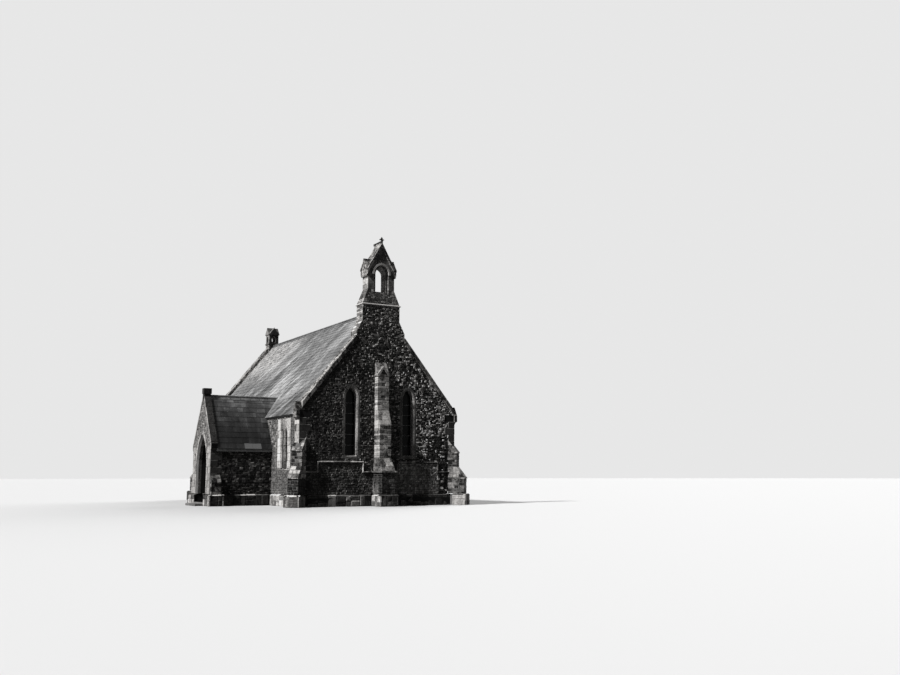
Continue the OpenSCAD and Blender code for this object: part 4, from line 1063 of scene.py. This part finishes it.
def build_doorways(dressed, wood, iron, flag):
    heap = Heap("doors")
    rng = heap.rng

    # Ring of arch stones and jamb stones, proud of the rubble
    def ring(front, width, foot, spring, grow, inset):
        face = Face((-front, PORCH_CY, 0), EAST_TO_WEST)

        def stone(quad, uneven):
            rises = [0.03 + rng.uniform(0, uneven)] * 4
            add_stone(heap, quad, face.n, 0.01, rises, 0.008, dressed_tone(rng))

        z = foot
        while z < spring - 0.01:
            top = min(z + QUOIN_H, spring)
            for sign in BOTH:
                lo, hi = sorted((sign * (width / 2 + inset), sign * (width / 2 + grow)))
                stone(face.points(rect(lo, hi, z + 0.004, top - 0.004), -0.01), 0.004)
            z = top
        for sign in BOTH:
            for a0, a1 in pairs(arch_angles(width, inset)):
                corners = []
                for a, out in ((a0, inset), (a0, grow), (a1, grow), (a1, inset)):
                    u, v = arch_point(width, spring, sign, width + out, a)
                    corners.append((u if sign * u >= 0.003 else sign * 0.003, v))
                if sign < 0:
                    corners = [corners[i] for i in (1, 0, 3, 2)]
                quad = face.points(corners, -0.01)
                centre = sum(quad, Vector()) / 4
                stone([centre + (q - centre) * 0.975 for q in quad], 0.005)

    ring(PORCH_X, DOOR_W, FOOTING, DOOR_SPRING, 0.235, 0.062)
    ring(NAVE_HW, INNER_DOOR_W, FLOOR, INNER_SPRING, 0.165, 0.005)
    heap.piece("doorway_stones", dressed, "dressed_stone")

    # Stones that line the doorways behind their front edge
    def lining(front, width, foot, spring, start, end):
        def stone(points, normal):
            quad = [Vector((x - front, PORCH_CY + y, z)) for x, y, z in points]
            add_stone(heap, quad, Vector(normal), 0.01, [0.006] * 4, 0.006, dressed_tone(rng))

        end -= 0.006
        beds = [foot] + heap.steps(foot, spring - 0.1, 0.26, 0.36) + [spring]
        for z, top in pairs(beds):
            for sign in BOTH:
                stone([(x, sign * width / 2, h) for x, h in rect(start, end, z, top - 0.006)],
                      (0, -sign, 0))
        for sign in BOTH:
            for a0, a1 in pairs(arch_angles(width)):
                a0, a1 = a0 + 0.003, a1 - 0.003
                middle = (a0 + a1) / 2
                stone([(x, *arch_point(width, spring, sign, width, a))
                       for x, a in rect(start, end, a0, a1)],
                      (0, -sign * math.cos(middle), -math.sin(middle)))

    lining(PORCH_X, DOOR_W, FOOTING, DOOR_SPRING, 0.068, 0.21)
    lining(NAVE_HW, INNER_DOOR_W, FLOOR, INNER_SPRING, 0.005, 0.14)
    heap.piece("doorway_linings", dressed, "dressed_stone")

    hinge_side, ring_side = PORCH_CY + INNER_DOOR_W / 2, PORCH_CY - INNER_DOOR_W / 2
    planks = band_cut(solids("nave_door"), Y,
                      [ring_side + INNER_DOOR_W * i / 8 for i in range(1, 8)], 0.005)
    heap.finish(planks, 0.005, 0.0)
    heap.piece("door_planks", wood, "door_wood", "nave_door")

    # Strap hinges with split ends, a ring handle and its plate, on the outside of the door
    x = -NAVE_HW + INNER_DOOR_IN - 0.005
    side, up = Vector(Z), Vector(X)
    for z in (0.75, 1.75):
        a = Vector((x, hinge_side - 0.02, z))
        b = Vector((x, ring_side + 0.25, z))
        add_bar(heap, a, b, side, up, 0.045, 0.01, 0.2)
        for turn in BOTH:
            add_bar(heap, b, b + Vector((0, -0.1, 0.07 * turn)), side, up, 0.022, 0.01, 0.2)
        for i in range(6):
            y = a.y + (b.y - a.y) * (i + 0.5) / 6
            add_rod(heap, Vector((x - 0.013, y, z)), Vector((x + 0.004, y, z)), 0.009, 0.3, 6)
    y, z = ring_side + 0.13, 1.28
    add_rod(heap, Vector((x - 0.006, y, z + 0.05)), Vector((x + 0.004, y, z + 0.05)), 0.04, 0.25, 12)
    turns = [math.tau * i / 14 for i in range(15)]
    points = [Vector((x - 0.018, y + 0.05 * math.sin(t), z - 0.05 * math.cos(t) + 0.01))
              for t in turns]
    for a, b in pairs(points):
        add_rod(heap, a, b, 0.006, 0.25, 6)
    heap.piece("door_ironwork", iron, "door_wood")

    # Flagstones on the porch floor and the step
    parts = band_cut(solids("porch_floor"), X, heap.steps(-PORCH_X + 0.42, -NAVE_HW, 0.42, 0.6), 0.008)
    heap.finish(heap.stagger(parts, Y, 0.35, 0.7, 0.008), 0.006, 0.004)
    heap.finish(band_cut(solids("doorstep"), Y, [PORCH_CY + 0.13]), 0.012, 0.0)
    heap.piece("porch_flags", flag, "floor_stone", "porch_floor", "doorstep")


# Materials

def grey(level, warm=0.0):
    return (level * (1 + warm), level, level * (1 - warm))


def greys(*stops):
    """Stops of a ramp from (place, level) or (place, level, warmth)."""
    return [(place, grey(level, *(warm or (0.03,)))) for place, level, *warm in stops]


class Graph:
    """Short ways to add nodes to a new material, or to the world."""

    def __init__(self, name, owner=None):
        self.owner = owner or bpy.data.materials.new(name)
        self.owner.use_nodes = True
        self.tree = self.owner.node_tree
        self.shader = self.tree.nodes.get("Principled BSDF")

    def set(self, socket, value):
        if isinstance(value, bpy.types.NodeSocket):
            self.tree.links.new(value, socket)
        else:
            socket.default_value = value

    def node(self, kind, inputs=None, **settings):
        node = self.tree.nodes.new(kind)
        for key, value in settings.items():
            setattr(node, key, value)
        for key, value in (inputs or {}).items():
            self.set(node.inputs[key], value)
        return node

    def math(self, operation, a, b=0.0, clamp=False):
        return self.node("ShaderNodeMath", {0: a, 1: b}, operation=operation,
                         use_clamp=clamp).outputs[0]

    def times(self, a, b):
        return self.math("MULTIPLY", a, b)

    def total(self, value, *others, clamp=False):
        """Adds values one after another; clamp keeps the last sum between 0 and 1."""
        for i, other in enumerate(others):
            value = self.math("ADD", value, other, clamp and i == len(others) - 1)
        return value

    def place(self):
        return self.node("ShaderNodeTexCoord").outputs["Object"]

    def scaled(self, vector, scale):
        return self.node("ShaderNodeMapping", {"Vector": vector, "Scale": scale}).outputs[0]

    def split(self, vector):
        return self.node("ShaderNodeSeparateXYZ", {0: vector}).outputs

    def noise(self, vector, scale, detail=3.0, rough=0.55, warp=0.0):
        return self.node("ShaderNodeTexNoise", {
            "Vector": vector, "Scale": scale, "Detail": detail, "Roughness": rough,
            "Distortion": warp}).outputs["Fac"]

    def spread(self, value, lo, hi, to_lo=0.0, to_hi=1.0):
        return self.node("ShaderNodeMapRange", {
            "Value": value, "From Min": lo, "From Max": hi, "To Min": to_lo,
            "To Max": to_hi}, clamp=True).outputs[0]

    def sway(self, noise, amount):
        """Turns a noise into an offset between two opposite amounts."""
        return self.spread(noise, 0.3, 0.7, -amount, amount)

    def tone(self):
        return self.node("ShaderNodeAttribute", attribute_name="tone").outputs["Fac"]

    def ramp(self, value, stops):
        node = self.node("ShaderNodeValToRGB", {"Fac": value})
        elements = node.color_ramp.elements
        while len(elements) < len(stops):
            elements.new(0.5)
        for element, (place, colour) in zip(elements, stops):
            element.position = place
            element.color = (*colour, 1)
        return node.outputs["Color"]

    def mix(self, factor, a, b):
        return self.node("ShaderNodeMix", {0: factor, 6: a, 7: b}, data_type="RGBA").outputs[2]

    def dim(self, colour, factor):
        return self.node("ShaderNodeVectorMath", {0: colour, "Scale": factor},
                         operation="SCALE").outputs[0]

    def at_most(self, colour, level):
        return self.node("ShaderNodeVectorMath", {0: colour, 1: (level, level, level)},
                         operation="MINIMUM").outputs[0]

    def painted_sun_and_shade(self, south, west, up):
        """Painted light and shade: each face is made paler by how far it looks south and up, and paler
        or darker by how far it looks west.
        """
        x, y, z = self.split(self.node("ShaderNodeNewGeometry").outputs["Normal"])
        return self.total(self.times(self.spread(x, -1.0, 0.0, 1.0, 0.0), south),
                          self.times(self.spread(y, -1.0, -0.2, 1.0, 0.0), west),
                          self.times(self.spread(z, 0.2, 0.9), up), 1.0)

    def seen(self):
        """Gives 1 for rays of the camera, of mirrors and through glass."""
        rays = self.node("ShaderNodeLightPath").outputs
        seen = self.math("MAXIMUM", rays["Is Camera Ray"], rays["Is Glossy Ray"])
        return self.math("MAXIMUM", seen, rays["Is Transmission Ray"])

    def finish(self, colour, roughness, height, depth, specular=0.5):
        bump = self.node("ShaderNodeBump", {"Height": height, "Distance": depth, "Strength": 1.0})
        for key, value in (("Base Color", colour), ("Roughness", roughness),
                           ("Specular IOR Level", specular), ("Normal", bump.outputs[0])):
            self.set(self.shader.inputs[key], value)
        return self.owner


def stone_material(name, share, south, west, up, depth, mottle, *stops):
    g = Graph(name)
    place = g.place()
    grain = 70.0 if name in ("dressed", "trim_stone") else 50.0
    patches = g.noise(place, 0.7)
    stains = g.noise(g.scaled(place, (1, 1, 0.35)), 3.2, 5.0, 0.6)
    fine = g.noise(place, grain, 4.0, 0.65)
    medium = g.noise(place, grain * 0.24, 4.0, 0.6)
    own = share * 0.4 if name == "dark_stone" else g.times(g.tone(), share)
    value = g.total(own, g.sway(stains, 0.13 * mottle), g.sway(patches, 0.1),
                    g.sway(medium, 0.12 * mottle), g.sway(fine, 0.09 * mottle),
                    (1 - share) * 0.45, clamp=True)
    # Painted light and shade: faces are made paler or darker by the way they look
    colour = g.dim(g.ramp(value, greys(*stops)), g.painted_sun_and_shade(south, west, up))
    return g.finish(g.at_most(colour, 0.85), g.spread(fine, 0.3, 0.7, 0.86, 0.97),
                    g.total(g.times(medium, 0.7), g.times(fine, 0.3)), depth, 0.1)


def mortar_material():
    """Dark mortar outside, and lime plaster inside the nave."""
    g = Graph("mortar")
    place = g.place()
    fine = g.noise(place, 90.0, 4.0, 0.7)
    wide = g.noise(place, 2.5, 4.0)
    value = g.total(g.times(fine, 0.45), g.times(wide, 0.55))
    colour = g.ramp(value, greys((0.3, 0.0084, 0.02), (0.7, 0.0196, 0.02)))
    # Painted light: mortar that faces south is painted far paler than elsewhere
    colour = g.dim(colour, g.painted_sun_and_shade(18.0, 0.0, 0.0))
    x, y, z = g.split(place)
    inside = g.times(g.math("LESS_THAN", g.math("ABSOLUTE", x), NAVE_HW - SIDE_WALL + 0.01),
                     g.math("LESS_THAN", g.math("ABSOLUTE", y), NAVE_HL - GABLE_WALL + 0.01))
    inside = g.times(inside, g.math("LESS_THAN", z, RIDGE - 1.0))
    plaster = g.ramp(wide, greys((0.3, 0.5), (0.7, 0.62)))
    return g.finish(g.mix(inside, colour, plaster), g.spread(fine, 0.3, 0.7, 0.9, 0.98),
                    fine, 0.004, 0.1)


def slate_material(name, stretch, streak, share, spot, slant, stops, fade=None):
    """Slates with streaks that run down the slope at a slant, and spots of lichen."""
    g = Graph(name)
    place = g.place()
    x, y, z = g.split(place)
    slanted = g.node("ShaderNodeCombineXYZ", {"X": x, "Y": g.total(y, g.times(z, slant)), "Z": z})
    along = g.scaled(slanted.outputs[0], stretch)
    lanes = g.noise(along, 0.9, 5.0, 0.6, 1.2)
    thin = g.noise(along, 3.4, 5.0, 0.7, 0.6)
    where = g.spread(g.noise(place, 0.33, 2.0), 0.38, 0.6, 0.2, 1.0)
    patches = g.noise(place, 0.5, 6.0, 0.7, 0.6)
    fine = g.noise(place, 40.0, 4.0, 0.7)
    streaks = g.total(g.spread(lanes, 0.32, 0.68, -streak, streak), g.sway(thin, streak))
    value = g.total(g.times(g.tone(), share), g.times(streaks, where), g.sway(patches, 0.3),
                    g.sway(fine, 0.12), (1 - share) * 0.5, clamp=True)
    # More lichen on the nave roof beside the turret
    crown = g.times(g.spread(y, 0.5, 4.0), g.spread(z, 5.8, 7.2))
    crown = g.times(crown, g.spread(g.noise(place, 5.0, 6.0, 0.7), 0.42, 0.56, 0.0, 0.75))
    spots = g.spread(g.noise(place, 7.0, 6.0, 0.75), 0.6, 0.68, 0.0, spot)
    spots = g.total(spots, crown, clamp=True)
    colour = g.mix(spots, g.ramp(value, greys(*stops)), (*grey(0.62, 0.02), 1))
    if fade:
        # Darker towards the eaves and beside the coping, but not on the mended slates
        low, high, least, edge = fade
        darker_low = g.math("MAXIMUM", g.spread(z, low, high, least, 1.0),
                      g.spread(g.tone(), 1.2, 1.6, 0.0, 0.36))
        colour = g.dim(g.dim(colour, darker_low), g.spread(x, edge, edge + 0.35, 0.25, 1.0))
    return g.finish(colour, g.spread(fine, 0.3, 0.7, 0.62, 0.82),
                    g.total(fine, g.times(thin, 0.5)), 0.004, 0.2)


def glass_material():
    g = Graph("window_glass")
    place = g.place()
    panes = g.node("ShaderNodeTexVoronoi", {"Vector": g.scaled(place, (1.0, 1.0, 0.75)),
                                            "Scale": 8.0}).outputs["Distance"]
    dirt = g.noise(place, 3.0, 5.0)
    g.shader.inputs["IOR"].default_value = 1.5
    return g.finish(g.ramp(dirt, greys((0.3, 0.002, 0.0), (0.75, 0.01, 0.0))),
                    g.spread(dirt, 0.3, 0.7, 0.12, 0.4),
                    g.total(g.times(g.noise(place, 6.0, 2.0), 0.6), panes), 0.006, 0.05)


def plain_material(name, dark, light, scale, roughness, metallic=0.0, stretch=(1, 1, 1)):
    g = Graph(name)
    place = g.scaled(g.place(), stretch)
    wear = g.noise(place, scale, 5.0, 0.6)
    g.shader.inputs["Metallic"].default_value = metallic
    return g.finish(g.ramp(wear, [(0.3, dark), (0.7, light)]),
                    g.spread(wear, 0.3, 0.7, roughness - 0.06, roughness + 0.06),
                    g.noise(place, scale * 5, 4.0), 0.002)


# Each stone: the share of its tone in its grey, how much paler its south, west and upper faces are
# painted (painted light and shade), the depth of its relief, its mottling, and the stops of its grey
STONES = (
    ("rubble", 0.85, 2.4, 0.0, 0.6, 0.01, 1.0,
     (0.0, 0.006, 0.02), (0.3, 0.035), (0.65, 0.15), (1.0, 0.6)),
    ("side_rubble", 0.75, 0.0, 0.0, 0.2, 0.01, 1.0,
     (0.0, 0.03, 0.02), (0.35, 0.16), (0.7, 0.38), (1.0, 0.7)),
    ("porch_rubble", 0.75, 0.0, 0.0, 0.3, 0.01, 1.0,
     (0.0, 0.005, 0.02), (0.4, 0.028), (0.75, 0.11), (1.0, 0.34)),
    ("pier_stone", 0.7, 0.4, 0.0, 0.2, 0.012, 1.6,
     (0.0, 0.006, 0.02), (0.2, 0.035), (0.45, 0.19), (1.0, 0.64)),
    ("shaft_stone", 0.75, 1.9, 0.0, 0.8, 0.01, 1.5,
     (0.0, 0.008, 0.02), (0.3, 0.05), (0.65, 0.15), (1.0, 0.34)),
    ("belfry_stone", 0.6, 1.6, -0.2, 0.8, 0.008, 1.8, (0.0, 0.015, 0.02), (0.5, 0.12), (1.0, 0.45)),
    ("turret_stone", 0.6, 0.6, -0.75, 0.2, 0.008, 1.8, (0.0, 0.01, 0.02), (0.5, 0.16), (1.0, 0.5)),
    ("dressed", 0.5, 0.6, -0.55, 0.2, 0.006, 2.6, (0.0, 0.04), (0.5, 0.24), (1.0, 0.56)),
    ("coping_stone", 0.4, 0.0, -0.6, 0.0, 0.012, 3.4, (0.25, 0.03), (0.5, 0.26), (0.8, 0.66)),
    ("east_coping_stone", 0.4, 0.0, -0.1, 0.0, 0.012, 3.4, (0.25, 0.03), (0.5, 0.24), (0.8, 0.6)),
    ("trim_stone", 0.4, 1.4, 0.2, 1.1, 0.004, 1.0, (0.0, 0.14), (0.5, 0.34), (1.0, 0.56)),
    ("porch_dressed", 0.5, 0.6, -0.85, 0.4, 0.008, 1.8, (0.0, 0.08), (0.5, 0.24), (1.0, 0.5)),
    ("porch_coping_stone", 0.5, 0.6, -1.05, 0.0, 0.008, 2.2, (0.0, 0.06), (0.5, 0.24), (1.0, 0.5)),
    ("dark_stone", 0.4, 0.6, -0.2, 0.4, 0.006, 1.0, (0.0, 0.008, 0.02), (0.5, 0.03), (1.0, 0.12)),
    ("footing_stone", 0.7, 0.8, -0.4, 0.8, 0.014, 1.5, (0.0, 0.008, 0.02), (0.45, 0.1), (1.0, 0.55)),
    ("flags", 0.5, 0.0, 0.0, 0.0, 0.006, 1.0, (0.0, 0.12, 0.02), (1.0, 0.34, 0.02)))


# Stage

def add_camera():
    data = bpy.data.cameras.new("camera")
    data.lens = CAMERA_LENS
    data.sensor_width = SENSOR_WIDTH
    data.clip_end = 500.0
    camera = new_object("camera", data)
    camera.location = CAMERA_PLACE
    camera.rotation_euler = (math.pi / 2 + CAMERA_PITCH, 0.0, -CAMERA_YAW)
    bpy.context.scene.camera = camera


def add_light():
    world = bpy.data.worlds.new("world")
    bpy.context.scene.world = world
    g = Graph("world", world)
    light = g.tree.nodes["Background"]
    light.inputs["Color"].default_value = (0.9, 0.9, 0.9, 1)
    light.inputs["Strength"].default_value = 0.05
    backdrop = g.node("ShaderNodeBackground", {"Color": (0.8, 0.8, 0.8, 1)})
    mix = g.node("ShaderNodeMixShader", {0: g.seen(), 1: light.outputs[0], 2: backdrop.outputs[0]})
    g.set(g.tree.nodes["World Output"].inputs["Surface"], mix.outputs[0])
    # The sun of the photo, and a soft lamp on the two sides that the photo doesn't show
    for name, energy, spread, tip, turn in (("sun", 4.0, 4, 47, -78.7), ("fill", 2.2, 40, 62, 125)):
        data = bpy.data.lights.new(name, "SUN")
        data.energy = energy
        data.angle = math.radians(spread)
        new_object(name, data).rotation_euler = (math.radians(tip), 0, math.radians(turn))


def add_floor():
    mesh = bpy.data.meshes.new("floor")
    size = 400
    mesh.from_pydata([(x, y, 0) for x, y in rect(-size, size, -size, size)], [], [(0, 1, 2, 3)])
    g = Graph("floor")
    tone = g.spread(g.seen(), 0.0, 1.0, 0.05, 0.66)
    g.shader.inputs["Roughness"].default_value = 0.95
    g.set(g.shader.inputs["Base Color"], g.ramp(tone, greys((0.0, 0.0, 0.0), (1.0, 1.0, 0.0))))
    mesh.materials.append(g.owner)
    new_object("floor", mesh)


def give(names, material):
    for name in names:
        for slot in nodes[name].material_slots:
            slot.material = material


add_camera()
add_light()
add_floor()

stones = {row[0]: stone_material(*row) for row in STONES}
mortar = mortar_material()
nave_slate = slate_material("nave_slate", (0.25, 1.0, 0.25), 0.4, 0.25, 0.28, 1.1,
                            ((0.0, 0.035, 0.0), (0.5, 0.18, 0.0), (1.0, 0.58, 0.0)))
porch_slate = slate_material("porch_slate", (1.0, 0.25, 0.25), 0.2, 0.5, 0.2, 0.0,
                             ((0.0, 0.008, 0.0), (0.5, 0.075, 0.0), (1.0, 0.34, 0.0)),
                             (2.9, 4.6, 0.15, -PORCH_SLATE_END))
roof_bed = plain_material("roof_bed", grey(0.05), grey(0.12), 8.0, 0.9)
tile = plain_material("tile", grey(0.02), grey(0.22), 5.0, 0.8)
lead = plain_material("lead", grey(0.08), grey(0.2), 20.0, 0.6)
iron = plain_material("iron", grey(0.02), grey(0.06), 30.0, 0.55, 0.6)
wood = plain_material("wood", (0.06, 0.045, 0.032), (0.16, 0.125, 0.09), 9.0, 0.75,
                      stretch=(1, 1, 0.06))

give(["west_wall", "east_wall", "north_wall", "south_wall_west", "south_wall_east",
      "south_wall_over_door", "porch_west_wall", "porch_east_wall", "porch_jamb_west",
      "porch_jamb_east", "porch_arch"], mortar)
give(["nave_roof_south", "nave_roof_north", "porch_roof_west", "porch_roof_east"], roof_bed)
give(["gable_glazing", "side_glazing"], glass_material())
give(["nave_floor"], stones["flags"])
give(["finial", "porch_apex_block"], stones["dark_stone"])

build_rubble(stones["rubble"], stones["side_rubble"], stones["porch_rubble"])
build_quoins(stones["porch_dressed"])
build_dressed(stones["dressed"], stones["coping_stone"], stones["east_coping_stone"],
              stones["porch_coping_stone"], stones["belfry_stone"])
build_piers(stones["pier_stone"], stones["shaft_stone"], stones["belfry_stone"], mortar)
build_bellcote_trim(stones["coping_stone"], stones["trim_stone"], stones["dark_stone"],
                    stones["turret_stone"])
build_slates(nave_slate, porch_slate)
build_ridge(tile)
build_footing(stones["footing_stone"], mortar)
build_leads(lead)
build_doorways(stones["dressed"], wood, iron, stones["flags"])

bpy.context.scene.view_settings.view_transform = "Standard"
